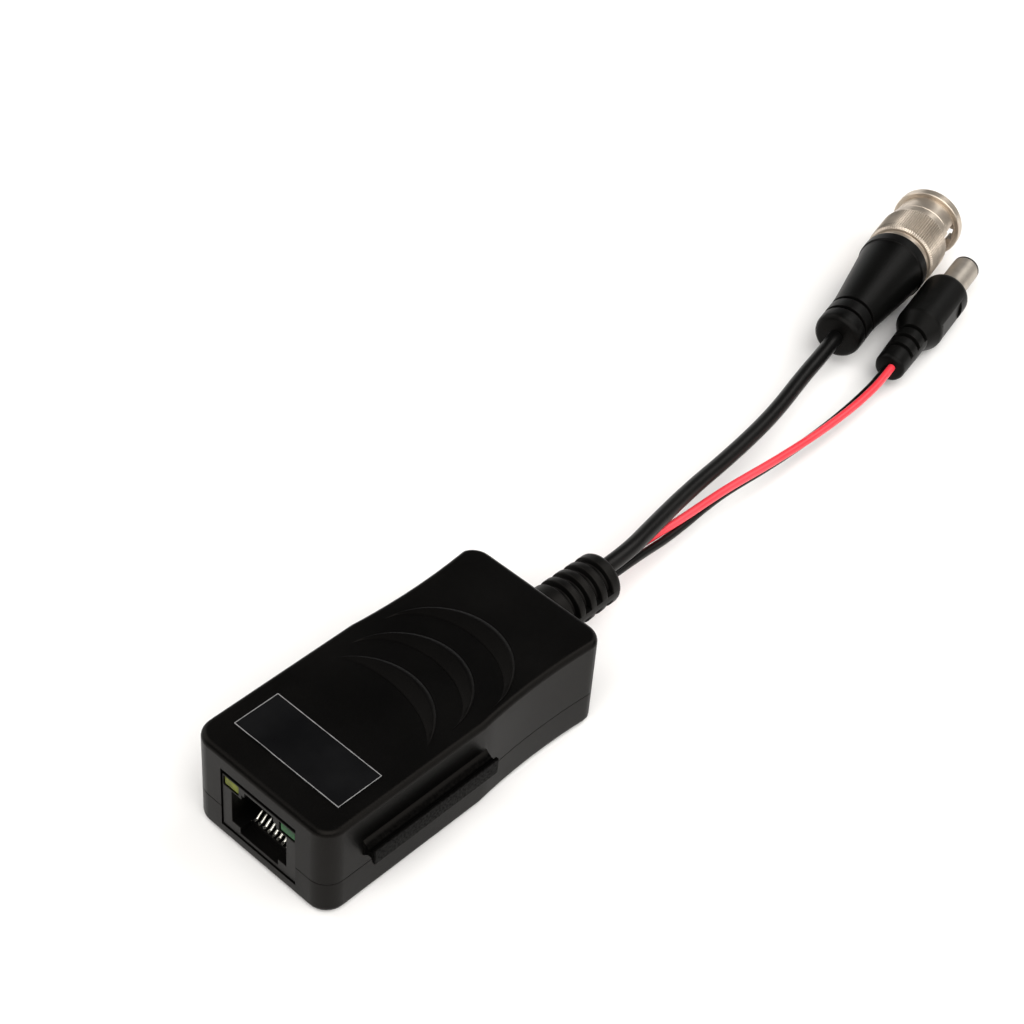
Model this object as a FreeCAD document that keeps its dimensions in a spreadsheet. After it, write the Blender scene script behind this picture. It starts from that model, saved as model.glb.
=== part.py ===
"""Video balun: a passive adapter that puts a camera's picture and power on one network cable.

A two-part case holds a network jack and a small circuit board. A moulded strain relief at the rear
lets out a thin coaxial cable with a bayonet plug and a red and black pair with a barrel power plug.
Frame: X across the case (side rail at +X), Y along it (jack at -Y, cables at +Y), Z up, with the
origin in the middle of the case's underside, which lies on the table. Sizes are in millimetres.
"""
import FreeCAD, Part
import math
import os
import Sketcher
from FreeCAD import Placement, Rotation, Vector

doc = FreeCAD.newDocument("video_balun")
sheet = doc.addObject("Spreadsheet::Sheet", "Sizes")

SIZES = {
    # case
    "case_length": 60.0,
    "case_width": 29.4,
    "case_height": 18.4,
    "parting_height": 6.8,
    "wall": 1.5,
    "floor_thickness": 1.4,
    "corner_radius": 3.6,
    "crown_radius": 1.0,
    "foot_radius": 1.4,
    "waist_radius": 120.0,
    "waist_depth": 0.75,
    "waist_place": 16.0,
    "lip_height": 1.2,
    "fit_gap": 0.1,
    # ramps on the lid
    "ramp_height": 0.5,
    "ramp_width": 3.2,
    # side rail and its groove
    "rail_length": 26.0,
    "rail_middle": -9.7,
    "rail_centre_height": 10.9,
    "rail_reach": 2.6,
    "rail_head": 3.2,
    "rail_neck": 1.5,
    "rail_head_depth": 0.9,
    "rail_foot": 4.2,
    "groove_clearance": 0.25,
    # label
    "label_width": 22.6,
    "label_depth": 9.1,
    "label_thickness": 0.15,
    "label_middle": -20.1,
    # network jack
    "jack_width": 16.0,
    "jack_depth": 18.0,
    "jack_height": 11.7,
    "jack_gap": 0.15,
    "jack_top_gap": 0.75,
    "jack_setback": 0.2,
    "plug_mouth_width": 11.9,
    "plug_mouth_height": 6.7,
    "plug_mouth_depth": 13.0,
    "plug_mouth_floor": 2.1,
    "latch_width": 6.2,
    "latch_rise": 1.9,
    "comb_width": 8.2,
    "comb_drop": 1.3,
    "comb_depth": 2.2,
    "contact_pitch": 1.02,
    "contact_radius": 0.23,
    "lamp_width": 3.3,
    "lamp_height": 1.9,
    "lamp_depth": 6.0,
    "lamp_inset": 0.25,
    "lamp_below_top": 0.7,
    # circuit board and what is on it
    "board_width": 23.0,
    "board_length": 50.0,
    "board_thickness": 1.2,
    "board_lift": 0.25,
    "core_radius": 4.6,
    "core_hole_radius": 2.1,
    "core_height": 3.4,
    "winding_radius": 0.28,
    "tube_radius": 2.5,
    "tube_length": 6.0,
    "can_radius": 2.5,
    "can_height": 7.0,
    "lead_drop": 3.6,
    # strain relief
    "relief_height": 10.3,
    "relief_root_radius": 4.85,
    "relief_end_radius": 4.6,
    "relief_length": 16.2,
    "relief_neck_width": 7.0,
    "relief_flange": 9.6,
    "relief_flange_depth": 1.6,
    "relief_groove_first": 4.45,
    "relief_groove_pitch": 2.7,
    "relief_groove_width": 1.3,
    "relief_groove_depth": 1.05,
    "relief_web": 1.4,
    # cords
    "coax_radius": 1.5,
    "wire_radius": 0.75,
    # bayonet plug
    "bayonet_x": -15.12,
    "bayonet_y": 130.13,
    "bayonet_turn": 13.5,
    "boot_tail_radius": 4.7,
    "boot_front_radius": 6.9,
    "boot_length": 29.0,
    "boot_rim_length": 2.7,
    "boot_tail_length": 9.8,
    "boot_groove_first": 3.3,
    "boot_groove_pitch": 3.5,
    "boot_groove_width": 0.8,
    "boot_groove_depth": 0.6,
    "boot_socket_radius": 4.0,
    "boot_socket_depth": 7.0,
    "crimp_bore_radius": 1.6,
    "nut_length": 16.0,
    "nut_flange_radius": 7.1,
    "nut_flange_depth": 2.0,
    "nut_band_radius": 7.05,
    "nut_band_length": 7.3,
    "nut_neck_radius": 6.3,
    "nut_bore_radius": 4.9,
    "nut_lip": 1.6,
    "nut_cavity_end": 5.7,
    "nut_cavity_radius": 6.0,
    "nut_chamfer": 0.65,
    "nut_chamfer_length": 1.2,
    "band_front_drop": 0.45,
    "band_front_length": 0.9,
    "window_width": 5.6,
    "window_margin": 0.25,
    "mouth_width": 2.5,
    "slot_roof": 0.5,
    "slot_inset": 1.2,
    "track_width": 2.3,
    "collar_radius": 6.3,
    "collar_depth": 1.5,
    "journal_radius": 5.0,
    "running_gap": 0.06,
    "end_gap": 0.2,
    "washer_space": 1.9,
    "ring_seat_radius": 4.6,
    "ring_seat_length": 1.2,
    "ring_thickness": 0.8,
    "ring_radius": 5.75,
    "gasket_radius": 4.75,
    "gasket_thickness": 1.2,
    "sleeve_setback": 0.9,
    "slit_width": 0.5,
    "slit_setback": 2.2,
    "sleeve_radius": 4.05,
    "sleeve_bore_radius": 3.4,
    "pin_radius": 0.68,
    # barrel power plug
    "power_x": -4.1,
    "power_y": 132.8,
    "power_turn": 13.0,
    "power_body_radius": 4.7,
    "power_body_length": 28.9,
    "power_neck_radius": 3.15,
    "power_neck_length": 11.4,
    "neck_groove_first": 3.8,
    "neck_groove_pitch": 3.2,
    "neck_groove_width": 1.1,
    "neck_groove_depth": 0.75,
    "neck_web": 2.0,
    "grip_start": 15.9,
    "grip_length": 9.0,
    "grip_height": 5.2,
    "grip_depth": 0.5,
    "barrel_radius": 2.75,
    "barrel_length": 9.5,
    "barrel_seat": 6.0,
    "barrel_inner_radius": 2.4,
    "barrel_tail_radius": 2.3,
    "barrel_tail_bore": 2.1,
    "barrel_step": 0.5,
    "tip_radius": 2.5,
    "tip_reach": 0.35,
    "spring_radius": 1.35,
    "spring_seat": 5.0,
    "spring_setback": 0.3,
    "barrel_bore_radius": 1.05,
}

for row, (name, number) in enumerate(SIZES.items(), start=1):
    sheet.set(f"A{row}", name)
    sheet.set(f"B{row}", str(number))
    sheet.setAlias(f"B{row}", name)
doc.recompute()


def value(formula):
    """The number that a formula over the sheet's sizes has now."""
    return float(sheet.evalExpression(str(formula)))


def of_sheet(formula):
    """The same formula, written for an object outside the sheet."""
    words = []
    for word in str(formula).replace("(", "( ").replace(")", " )").split():
        words.append(f"Sizes.{word}" if word in SIZES else word)
    return " ".join(words)


def bind(thing, **formulas):
    """Tie properties to the sheet: x, y and z mean the place."""
    paths = {"x": "Placement.Base.x", "y": "Placement.Base.y", "z": "Placement.Base.z"}
    for prop, formula in formulas.items():
        thing.setExpression(paths.get(prop, prop), of_sheet(formula))
    return thing


def primitive(kind, name, turn=None, **formulas):
    """A Part primitive, such as a box, with every size and place bound."""
    thing = doc.addObject("Part::" + kind, name)
    if turn:
        thing.Placement = Placement(Vector(), Rotation(*turn))
    return bind(thing, **formulas)


def box(name, x, y, z, wide, deep, high):
    """A box centred on x, with its near side at y and its underside at z."""
    return primitive("Box", name, Length=wide, Width=deep, Height=high,
                     x=f"{x} - ( {wide} ) / 2", y=y, z=z)


ALONG_Y = (Vector(1, 0, 0), -90)
ALONG_X = (Vector(0, 1, 0), 90)


def cut(name, base, *tools):
    """Base less the tools."""
    tool = tools[0] if len(tools) == 1 else fuse(name + "_tools", *tools)
    result = doc.addObject("Part::Cut", name)
    result.Base = base
    result.Tool = tool
    return result


def fuse(name, *shapes):
    """The shapes as one."""
    result = doc.addObject("Part::MultiFuse", name)
    result.Shapes = list(shapes)
    return result


def group(name, *shapes):
    """Separate solids of the same kind kept together as one sub-part."""
    result = doc.addObject("Part::Compound", name)
    result.Links = list(shapes)
    return result


def polygon(body, role, points, lift=None):
    """A closed sketch on one of the body's own planes, each corner tied to the sheet."""
    sketch = body.newObject("Sketcher::SketchObject", body.Name + "_outline")
    plane = next(item for item in body.Origin.OriginFeatures if item.Role == role)
    sketch.AttachmentSupport = [(plane, "")]
    sketch.MapMode = "FlatFace"
    if lift is not None:
        sketch.setExpression("AttachmentOffset.Base.z", of_sheet(lift))
    corners = [Vector(value(x), value(y), 0) for x, y in points]
    count = len(corners)
    for index in range(count):
        sketch.addGeometry(Part.LineSegment(corners[index], corners[(index + 1) % count]))
    for index in range(count):
        sketch.addConstraint(Sketcher.Constraint("Coincident", index, 2, (index + 1) % count, 1))
    for index, (x, y) in enumerate(points):
        for kind, formula, now in (("DistanceX", x, corners[index].x), ("DistanceY", y, corners[index].y)):
            number = sketch.addConstraint(Sketcher.Constraint(kind, -1, 1, index, 1, now))
            sketch.setExpression(f"Constraints[{number}]", of_sheet(formula))
    return sketch


def pad(name, role, points, length, lift=None, middle=False):
    """A straight extrusion of a polygon."""
    body = doc.addObject("PartDesign::Body", name)
    sketch = polygon(body, role, points, lift)
    feature = body.newObject("PartDesign::Pad", name + "_pad")
    feature.Profile = sketch
    feature.Midplane = middle
    bind(feature, Length=length)
    doc.recompute()
    return body


def turned(name, points):
    """A turned piece: pairs of radius and distance along the Y axis, once round."""
    body = doc.addObject("PartDesign::Body", name)
    sketch = polygon(body, "XY_Plane", points)
    feature = body.newObject("PartDesign::Revolution", name + "_turn")
    feature.Profile = sketch
    feature.ReferenceAxis = (sketch, ["V_Axis"])
    feature.Angle = 360.0
    doc.recompute()
    return body


def edges_where(shape, test):
    """Names of the edges that pass a test."""
    return [f"Edge{number}" for number, edge in enumerate(shape.Edges, start=1) if test(edge)]


def round_edges(body, radius, test):
    """A fillet on the edges of the body's tip that pass a test."""
    base = body.Tip
    names = edges_where(base.Shape, test)
    feature = body.newObject("PartDesign::Fillet", f"{body.Name}_round{len(body.Group)}")
    feature.Base = (base, names)
    bind(feature, Radius=radius)
    doc.recompute()
    return body


def is_upright(edge):
    return edge.BoundBox.ZLength > 1 and edge.BoundBox.XLength < 0.01 and edge.BoundBox.YLength < 0.01


def is_level_at(height):
    return lambda edge: abs(edge.BoundBox.ZMin - height) < 0.01 and abs(edge.BoundBox.ZMax - height) < 0.01


def is_ring_at(distance, radius):
    """A circle of this radius round the Y axis, this far along it."""
    def test(edge):
        ring = edge.Curve
        return (isinstance(ring, Part.Circle) and abs(ring.Center.y - distance) < 0.01
                and abs(ring.Radius - radius) < 0.01)
    return test


# Case: a block with round upright corners and a shallow waist in each long side

def case_block(name, inset, low, high):
    """The case's outline, drawn in by inset, from one height to another."""
    across = f"( case_width / 2 - {inset} )"
    along = f"( case_length / 2 - {inset} )"
    corners = [(f"0 - {across}", f"0 - {along}"), (across, f"0 - {along}"),
               (across, along), (f"0 - {across}", along)]
    body = pad(name, "XY_Plane", corners, f"{high} - ( {low} )", lift=low)
    round_edges(body, f"corner_radius - {inset}", is_upright)
    for side in (-1, 1):
        waist = body.newObject("PartDesign::SubtractiveCylinder", f"{name}_waist{side + 1}")
        bind(waist, Radius=f"waist_radius + {inset}", Height="case_height * 2",
             x=f"{side} * ( case_width / 2 - waist_depth + waist_radius )", y="waist_place",
             z="0 - case_height / 2")
        doc.recompute()
    return body


def window_box(name):
    """The opening for the jack, through the front wall of both covers."""
    return box(name, 0, "0 - case_length", "floor_thickness + board_lift + board_thickness - jack_gap",
               "jack_width + 2 * jack_gap", "case_length / 2 + wall + jack_gap",
               "jack_height + jack_gap + jack_top_gap")


def relief_slot(name, spare):
    """The slot in the rear wall that closes on the strain relief's neck."""
    half = f"( relief_neck_width / 2 + {spare} )"
    arch = primitive("Cylinder", name + "_arch", turn=ALONG_Y, Radius=half, Height="case_length",
                     y="case_length / 2 - wall - 1", z="relief_height")
    legs = box(name + "_legs", 0, "case_length / 2 - wall - 1", "parting_height - 0.01",
               f"2 * {half}", "case_length", "relief_height - parting_height + 0.01")
    return fuse(name, arch, legs)


def rail_profile(reach, head, neck, head_depth, foot, side):
    """Half outlines of the rail: a flared foot, a thin neck and a wide head."""
    wall_face = "( case_width / 2 - 0.4 )"
    outline = [(wall_face, f"{foot} / 2"),
               (f"( case_width / 2 + {reach} * 0.4 )", f"{neck} / 2"),
               (f"( case_width / 2 + {reach} - {head_depth} )", f"{neck} / 2"),
               (f"( case_width / 2 + {reach} - {head_depth} * 0.7 )", f"{head} / 2"),
               (f"( case_width / 2 + {reach} )", f"{head} / 2")]
    upper = [(f"{side} * {x}", f"rail_centre_height + {up}") for x, up in outline]
    lower = [(f"{side} * {x}", f"rail_centre_height - {up}") for x, up in reversed(outline)]
    return upper + lower


# Each ramp: outer arc's centre x, centre y and radius, heading of its widest point, half its sweep
RAMPS = (
    (0.6, 5.9, 12.3, 88.0, 92.0),
    (0.2, -1.6, 11.6, 87.0, 92.0),
    (-0.2, -10.6, 12.4, 83.0, 66.0),
)


def lid_ramp(index, middle_x, middle_y, radius, heading, half_sweep):
    """A crescent that slopes up to a crisp outer arc and dies out at both tips."""
    slope = "( ramp_height / ramp_width )"
    tip_cosine = math.cos(math.radians(half_sweep))
    shift = f"( ramp_width / {1 - tip_cosine:.4f} )"
    inner_x = f"{middle_x} - {shift} * {math.cos(math.radians(heading)):.4f}"
    inner_y = f"{middle_y} - {shift} * {math.sin(math.radians(heading)):.4f}"
    inner_radius = f"( {radius} + {shift} * {tip_cosine:.4f} )"
    sunk = 0.4
    outer = primitive("Cylinder", f"ramp_outer{index}", Radius=radius, Height=f"ramp_height * 1.5 + {sunk}",
                      x=middle_x, y=middle_y, z=f"case_height - {sunk}")
    hollow = primitive("Cone", f"ramp_hollow{index}",
                       Radius1=f"{inner_radius} - {sunk} / {slope}",
                       Radius2=f"{inner_radius} + ramp_height * 2 / {slope}",
                       Height=f"ramp_height * 2 + {sunk}", x=inner_x, y=inner_y, z=f"case_height - {sunk}")
    return cut(f"ramp{index}", outer, hollow)


def upper_cover():
    shell = case_block("upper_block", 0, "parting_height", "case_height")
    round_edges(shell, "crown_radius", is_level_at(value("case_height")))
    hollow = case_block("upper_hollow", "wall", "parting_height - 1", "case_height - wall")
    rebate = case_block("upper_rebate", "wall / 2", "parting_height - 1",
                        "parting_height + lip_height + fit_gap")
    groove_back = box("groove_back", "0 - case_width / 2 + wall + 1.9",
                      "rail_middle - rail_length / 2 - wall", "rail_centre_height - rail_head / 2 - 1", 4.2,
                      "rail_length + 2 * wall", "rail_head + 2 + wall")
    clear = "groove_clearance"
    groove = pad("rail_groove", "XZ_Plane",
                 rail_profile("( 0 - rail_reach - 0.3 )", f"( rail_head + 2 * {clear} )",
                              f"( rail_neck + 2 * {clear} )", "( 0 - rail_head_depth - 0.5 )",
                              f"( rail_neck + 2 * {clear} )", -1),
                 f"rail_length + 2 * {clear}", lift="0 - rail_middle", middle=True)
    rail = pad("rail", "XZ_Plane",
               rail_profile("rail_reach", "rail_head", "rail_neck", "rail_head_depth", "rail_foot", 1),
               "rail_length", lift="0 - rail_middle", middle=True)
    walls = cut("upper_walls", shell, fuse("upper_inside", hollow, rebate))
    ramps = [lid_ramp(index, *ramp) for index, ramp in enumerate(RAMPS)]
    solid = fuse("upper_solid", walls, groove_back, rail, *ramps)
    return cut("upper_cover", solid, groove, window_box("upper_window"), relief_slot("upper_slot", "0"))


def lower_cover():
    tray = case_block("lower_block", 0, "0", "parting_height")
    round_edges(tray, "foot_radius", is_level_at(0.0))
    hollow = case_block("lower_hollow", "wall", "floor_thickness", "case_height")
    lip = case_block("lip_block", "( wall / 2 + fit_gap )", "parting_height - 1",
                     "parting_height + lip_height")
    rests = []
    for side in (-1, 1):
        for end in (-1, 1):
            rests.append(box(f"board_rest{side + 1}{end + 1}", f"{side} * ( board_width / 2 - 2 )",
                             f"{end} * ( board_length / 2 - 6 ) - 1.5", "floor_thickness - 0.1", 3, 3,
                             "board_lift + 0.1"))
    relief_cut = relief_slot("lower_slot", "fit_gap")
    walls = cut("lower_walls", fuse("lower_solid", tray, lip), hollow)
    return cut("lower_cover", fuse("lower_with_rests", walls, *rests), window_box("lower_window"), relief_cut)


# Network jack

JACK_FLOOR = "( floor_thickness + board_lift + board_thickness )"
JACK_FACE = "( 0 - case_length / 2 + jack_setback )"
MOUTH_FLOOR = f"( {JACK_FLOOR} + plug_mouth_floor )"
MOUTH_ROOF = f"( {MOUTH_FLOOR} + plug_mouth_height )"


def jack_housing():
    housing = box("jack_block", 0, JACK_FACE, JACK_FLOOR, "jack_width", "jack_depth", "jack_height")
    mouth = box("jack_mouth", 0, f"{JACK_FACE} - 1", MOUTH_FLOOR, "plug_mouth_width",
                "plug_mouth_depth + 1", "plug_mouth_height")
    latch = box("jack_latch", 0, f"{JACK_FACE} - 1", f"{MOUTH_ROOF} - 1", "latch_width",
                "plug_mouth_depth - 3", "latch_rise + 1")
    shoulder = box("jack_shoulder", 0, f"{JACK_FACE} - 1", f"{MOUTH_ROOF} - 1", "latch_width + 1.4",
                   "plug_mouth_depth - 7", "latch_rise / 2 + 1")
    comb = box("jack_comb", 0, f"{JACK_FACE} - 1", f"{MOUTH_FLOOR} - comb_drop", "comb_width",
               "comb_depth + 1", "comb_drop + 1")
    lamps = []
    for side in (-1, 1):
        lamps.append(box(f"lamp_pocket{side + 1}",
                         f"{side} * ( jack_width / 2 - lamp_inset - lamp_width / 2 )", f"{JACK_FACE} - 1",
                         f"{JACK_FLOOR} + jack_height - lamp_below_top - lamp_height", "lamp_width",
                         "lamp_depth + 1", "lamp_height"))
    return cut("jack_housing", housing, mouth, latch, shoulder, comb, *lamps)


def lamp(name, side):
    """A small light block in the jack's top corner, its face just inside the jack's."""
    return box(name, f"{side} * ( jack_width / 2 - lamp_inset - lamp_width / 2 )", f"{JACK_FACE} + 0.15",
               f"{JACK_FLOOR} + jack_height - lamp_below_top - lamp_height", "lamp_width",
               "lamp_depth - 0.15", "lamp_height")


def bent_wire(name, points, radius):
    """A round bar along straight runs joined by tangent arcs, each as large as its runs allow."""
    edges = []
    turns = []
    length = 0.0
    start = points[0]
    for before, corner, after in zip(points, points[1:], points[2:]):
        incoming = (corner - before).normalize()
        outgoing = (after - corner).normalize()
        half_turn = incoming.getAngle(outgoing) / 2
        reach = 0.45 * min((corner - before).Length, (after - corner).Length)
        bend = reach / math.tan(half_turn)
        turns.append(bend)
        enter = corner - incoming * reach
        leave = corner + outgoing * reach
        inward = (outgoing - incoming).normalize()
        crest = corner + inward * (bend / math.cos(half_turn) - bend)
        edges.append(Part.LineSegment(start, enter).toShape())
        edges.append(Part.Arc(enter, crest, leave).toShape())
        length += (enter - start).Length + bend * 2 * half_turn
        start = leave
    edges.append(Part.LineSegment(start, points[-1]).toShape())
    length += (points[-1] - start).Length
    path = Part.Wire(edges)
    section = Part.Wire(Part.makeCircle(radius, points[0], points[1] - points[0]))
    bar = path.makePipeShell([section], True, False)
    thing = doc.addObject("Part::Feature", name)
    thing.Shape = bar
    filled = math.pi * radius ** 2 * length
    print(f"{name}: length {length:.1f} mm, smallest bend {min(turns):.1f} mm, "
          f"volume {bar.Volume:.1f} of {filled:.1f} mm3")
    return thing


def jack_contacts():
    """Eight springs that start on the mouth's floor, behind the comb, and rise towards the back."""
    face = value(JACK_FACE)
    floor = value(MOUTH_FLOOR)
    pitch = value("contact_pitch")
    radius = value("contact_radius")
    seat = floor + radius
    wires = []
    for index in range(8):
        across = (index - 3.5) * pitch
        points = [Vector(across, face + 2.3, seat), Vector(across, face + 2.8, seat),
                  Vector(across, face + 4.0, floor + 1.4), Vector(across, face + 10.6, floor + 3.0)]
        wires.append(bent_wire(f"contact{index}", points, radius))
    return group("jack_contacts", *wires)


# Circuit board and what stands on it

BOARD_TOP = "( floor_thickness + board_lift + board_thickness )"
CORE_PLACE = (-4.5, 0.5)
TUBE_PLACE = (5.5, -3.0)
CAN_PLACE = (6.0, 8.0)
CHIP_PLACES = ((0.5, -8.0), (4.0, 2.5), (-8.5, 9.5), (-8.5, 12.5), (0.5, 13.5), (8.5, -8.5))
CHIP_SIZE = (3.0, 1.6, 0.9)
LEAD_PADS = ((-6.0, 18.0), (0.5, 18.5), (6.0, 18.0))


def circuit_board():
    return box("circuit_board", 0, "0 - board_length / 2 - 1", "floor_thickness + board_lift", "board_width",
               "board_length", "board_thickness")


def balun_core():
    ring = primitive("Cylinder", "core_ring", Radius="core_radius", Height="core_height",
                     x=CORE_PLACE[0], y=CORE_PLACE[1], z=f"{BOARD_TOP} + 0.7")
    hole = primitive("Cylinder", "core_hole", Radius="core_hole_radius", Height="core_height + 2",
                     x=CORE_PLACE[0], y=CORE_PLACE[1], z=BOARD_TOP)
    return cut("balun_core", ring, hole)


def balun_winding():
    """Turns of wire round the ring core, evenly spaced on two arcs."""
    gap = value("winding_radius") + 0.02
    outside = value("core_radius") + gap
    inside = value("core_hole_radius") - gap
    low = value(BOARD_TOP) + 0.7 - gap
    high = value(BOARD_TOP) + 0.7 + value("core_height") + gap
    turns = []
    for index in range(14):
        angle = math.radians(20 + index * 20 + (40 if index > 6 else 0))
        out = Vector(math.cos(angle), math.sin(angle), 0)
        middle = Vector(CORE_PLACE[0], CORE_PLACE[1], 0)
        corners = [middle + out * outside + Vector(0, 0, low), middle + out * outside + Vector(0, 0, high),
                   middle + out * inside + Vector(0, 0, high), middle + out * inside + Vector(0, 0, low)]
        loop = Part.makePolygon(corners + corners[:1])
        section = Part.Wire(Part.makeCircle(value("winding_radius"), corners[0], Vector(0, 0, 1)))
        turn = doc.addObject("Part::Feature", f"winding_turn{index}")
        turn.Shape = loop.makePipeShell([section], True, False, 2)
        turns.append(turn)
    return group("balun_winding", *turns)


def surge_tube():
    tube = primitive("Cylinder", "tube_glass", turn=ALONG_X, Radius="tube_radius", Height="tube_length",
                     x=f"{TUBE_PLACE[0]} - tube_length / 2", y=TUBE_PLACE[1],
                     z=f"{BOARD_TOP} + tube_radius + 0.05")
    caps = []
    for side in (-1, 1):
        caps.append(primitive("Cylinder", f"tube_cap{side + 1}", turn=ALONG_X, Radius="tube_radius + 0.05",
                              Height=0.9, x=f"{TUBE_PLACE[0]} + {side} * ( tube_length / 2 - 0.45 ) - 0.45",
                              y=TUBE_PLACE[1], z=f"{BOARD_TOP} + tube_radius + 0.05"))
    return fuse("surge_tube", tube, *caps)


def capacitor():
    can = primitive("Cylinder", "can_body", Radius="can_radius", Height="can_height", x=CAN_PLACE[0],
                    y=CAN_PLACE[1], z=BOARD_TOP)
    vent = box("can_vent", CAN_PLACE[0], f"{CAN_PLACE[1]} - 0.1", f"{BOARD_TOP} + can_height - 0.2",
               "can_radius * 1.4", 0.2, 1)
    return cut("capacitor", can, vent)


def chip_parts():
    chips = []
    for index, (x, y) in enumerate(CHIP_PLACES):
        chips.append(box(f"chip{index}", x, f"{y} - {CHIP_SIZE[1] / 2}", BOARD_TOP, *CHIP_SIZE))
    return group("chip_parts", *chips)


def solder_joints():
    cones = []
    for index, (x, y) in enumerate(LEAD_PADS):
        cones.append(primitive("Cone", f"solder{index}", Radius1=1.1, Radius2=0.9, Height=0.5, x=x, y=y,
                               z=BOARD_TOP))
    return group("solder_joints", *cones)


def inner_leads():
    """The three leads from the strain relief's inner end down to their pads."""
    exit_y = value("case_length / 2 - wall - relief_flange_depth - fit_gap")
    height = value("relief_height")
    floor = value(BOARD_TOP) + 0.5
    drop = value("lead_drop")
    wires = []
    for index, (x, y) in enumerate(LEAD_PADS):
        across = (index - 1) * 2.2
        radius = value("wire_radius") if index else 0.9
        points = [Vector(across, exit_y, height), Vector(across, exit_y - drop, height),
                  Vector(x, y, floor + drop), Vector(x, y, floor)]
        wires.append(bent_wire(f"lead{index}", points, radius))
    return group("inner_leads", *wires)


def label():
    return box("label", 0, "label_middle - label_depth / 2", "case_height", "label_width", "label_depth",
               "label_thickness")


# Strain relief: a ribbed boot with a flange that the covers close on

def strain_relief():
    rear = "( case_length / 2 )"
    root = "relief_root_radius"
    end = "relief_end_radius"
    boot = turned("relief_boot", [("0", f"{rear}"), (root, f"{rear}"), (root, f"{rear} + 2.2"),
                                  (end, f"{rear} + relief_length"), ("0", f"{rear} + relief_length")])
    round_edges(boot, "1.0", is_ring_at(value(f"{rear} + relief_length"), value(end)))
    bind(boot, z="relief_height")
    neck_arch = primitive("Cylinder", "relief_neck", turn=ALONG_Y, Radius="relief_neck_width / 2",
                          Height="wall + 0.2", y=f"{rear} - wall - 0.1", z="relief_height")
    neck_legs = box("relief_neck_legs", 0, f"{rear} - wall - 0.1", "parting_height", "relief_neck_width",
                    "wall + 0.2", "relief_height - parting_height")
    flange = box("relief_flange_block", 0, f"{rear} - wall - relief_flange_depth - fit_gap",
                 "relief_height - relief_flange / 2", "relief_flange", "relief_flange_depth",
                 "relief_flange")
    grooves = []
    for index in range(4):
        along = f"{rear} + relief_groove_first + {index} * relief_groove_pitch"
        outer = primitive("Cylinder", f"groove_outer{index}", turn=ALONG_Y, Radius="relief_root_radius + 1",
                          Height="relief_groove_width", y=along, z="relief_height")
        inner = primitive("Cylinder", f"groove_inner{index}", turn=ALONG_Y,
                          Radius="relief_end_radius - relief_groove_depth",
                          Height="relief_groove_width", y=along, z="relief_height")
        web = box(f"groove_web{index}", 0, along, "relief_height - relief_web / 2",
                  "relief_root_radius * 2 + 4", "relief_groove_width", "relief_web")
        grooves.append(cut(f"relief_groove{index}", outer, inner, web))
    solid = fuse("relief_solid", boot, neck_arch, neck_legs, flange)
    return cut("strain_relief", solid, *grooves)


# Cords: routes from the strain relief's end to the plugs' tails

COAX_ROUTE = ((-0.4, 46.2, 11.1), (-0.4, 53.0, 11.1), (-2.3, 61.5, 10.1), (-4.9, 74.5, 8.7),
              (-6.7, 89.0, 7.5), (-9.0, 103.5, 6.8), (-12.2, 116.5, 6.9), (-13.65, 124.0, 7.1),
              (-15.12, 130.13, 7.1))
RED_ROUTE = ((-1.75, 46.2, 9.2), (-1.75, 52.0, 9.2), (-2.4, 58.5, 7.6), (-2.1, 64.0, 7.55),
             (-1.9, 70.0, 7.3), (-2.05, 76.0, 6.9), (-2.05, 83.0, 6.5), (-1.6, 95.0, 5.5),
             (-1.35, 107.5, 4.9), (-1.5, 118.0, 4.9), (-2.0, 125.3, 5.3), (-2.889, 130.0, 5.25),
             (-3.564, 132.924, 5.25))
BLACK_ROUTE = ((0.15, 46.2, 8.8), (0.15, 52.0, 8.8), (-0.6, 58.5, 7.4), (-1.0, 64.0, 6.35),
               (-1.55, 70.0, 5.75), (-2.2, 76.0, 5.4), (-2.6, 83.0, 5.0), (-2.2, 95.0, 4.1),
               (-2.25, 107.5, 3.65), (-2.65, 118.0, 3.75), (-3.2, 125.1, 4.1), (-3.961, 129.753, 4.15),
               (-4.636, 132.676, 4.15))


def cord(name, route, radius):
    return bent_wire(name, [Vector(*place) for place in route], radius)


# Bayonet plug, built along Y from its tail

def at_plug(thing, kind):
    """Put a piece, built along Y, where its plug lies."""
    height = "nut_flange_radius" if kind == "bayonet" else "power_body_radius"
    thing.Placement = Placement(Vector(), Rotation(Vector(0, 0, 1), value(f"{kind}_turn")))
    thing.setExpression("Placement.Rotation.Angle", of_sheet(f"{kind}_turn"))
    return bind(thing, x=f"{kind}_x", y=f"{kind}_y", z=height)


COLLAR_END = "( boot_length + collar_depth )"
NUT_START = f"( {COLLAR_END} + end_gap )"
BAND_END = f"( {NUT_START} + nut_band_length )"
NUT_END = f"( {NUT_START} + nut_length )"
FLANGE_START = f"( {NUT_END} - nut_flange_depth )"
LIP_END = f"( {NUT_START} + nut_lip )"
CAVITY_END = f"( {NUT_START} + nut_cavity_end )"
RING_START = f"( {LIP_END} + washer_space )"
SHOULDER = f"( {RING_START} + ring_seat_length )"
SLEEVE_END = f"( {NUT_END} - sleeve_setback )"
SOCKET_START = "( boot_length - boot_socket_depth )"


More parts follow.
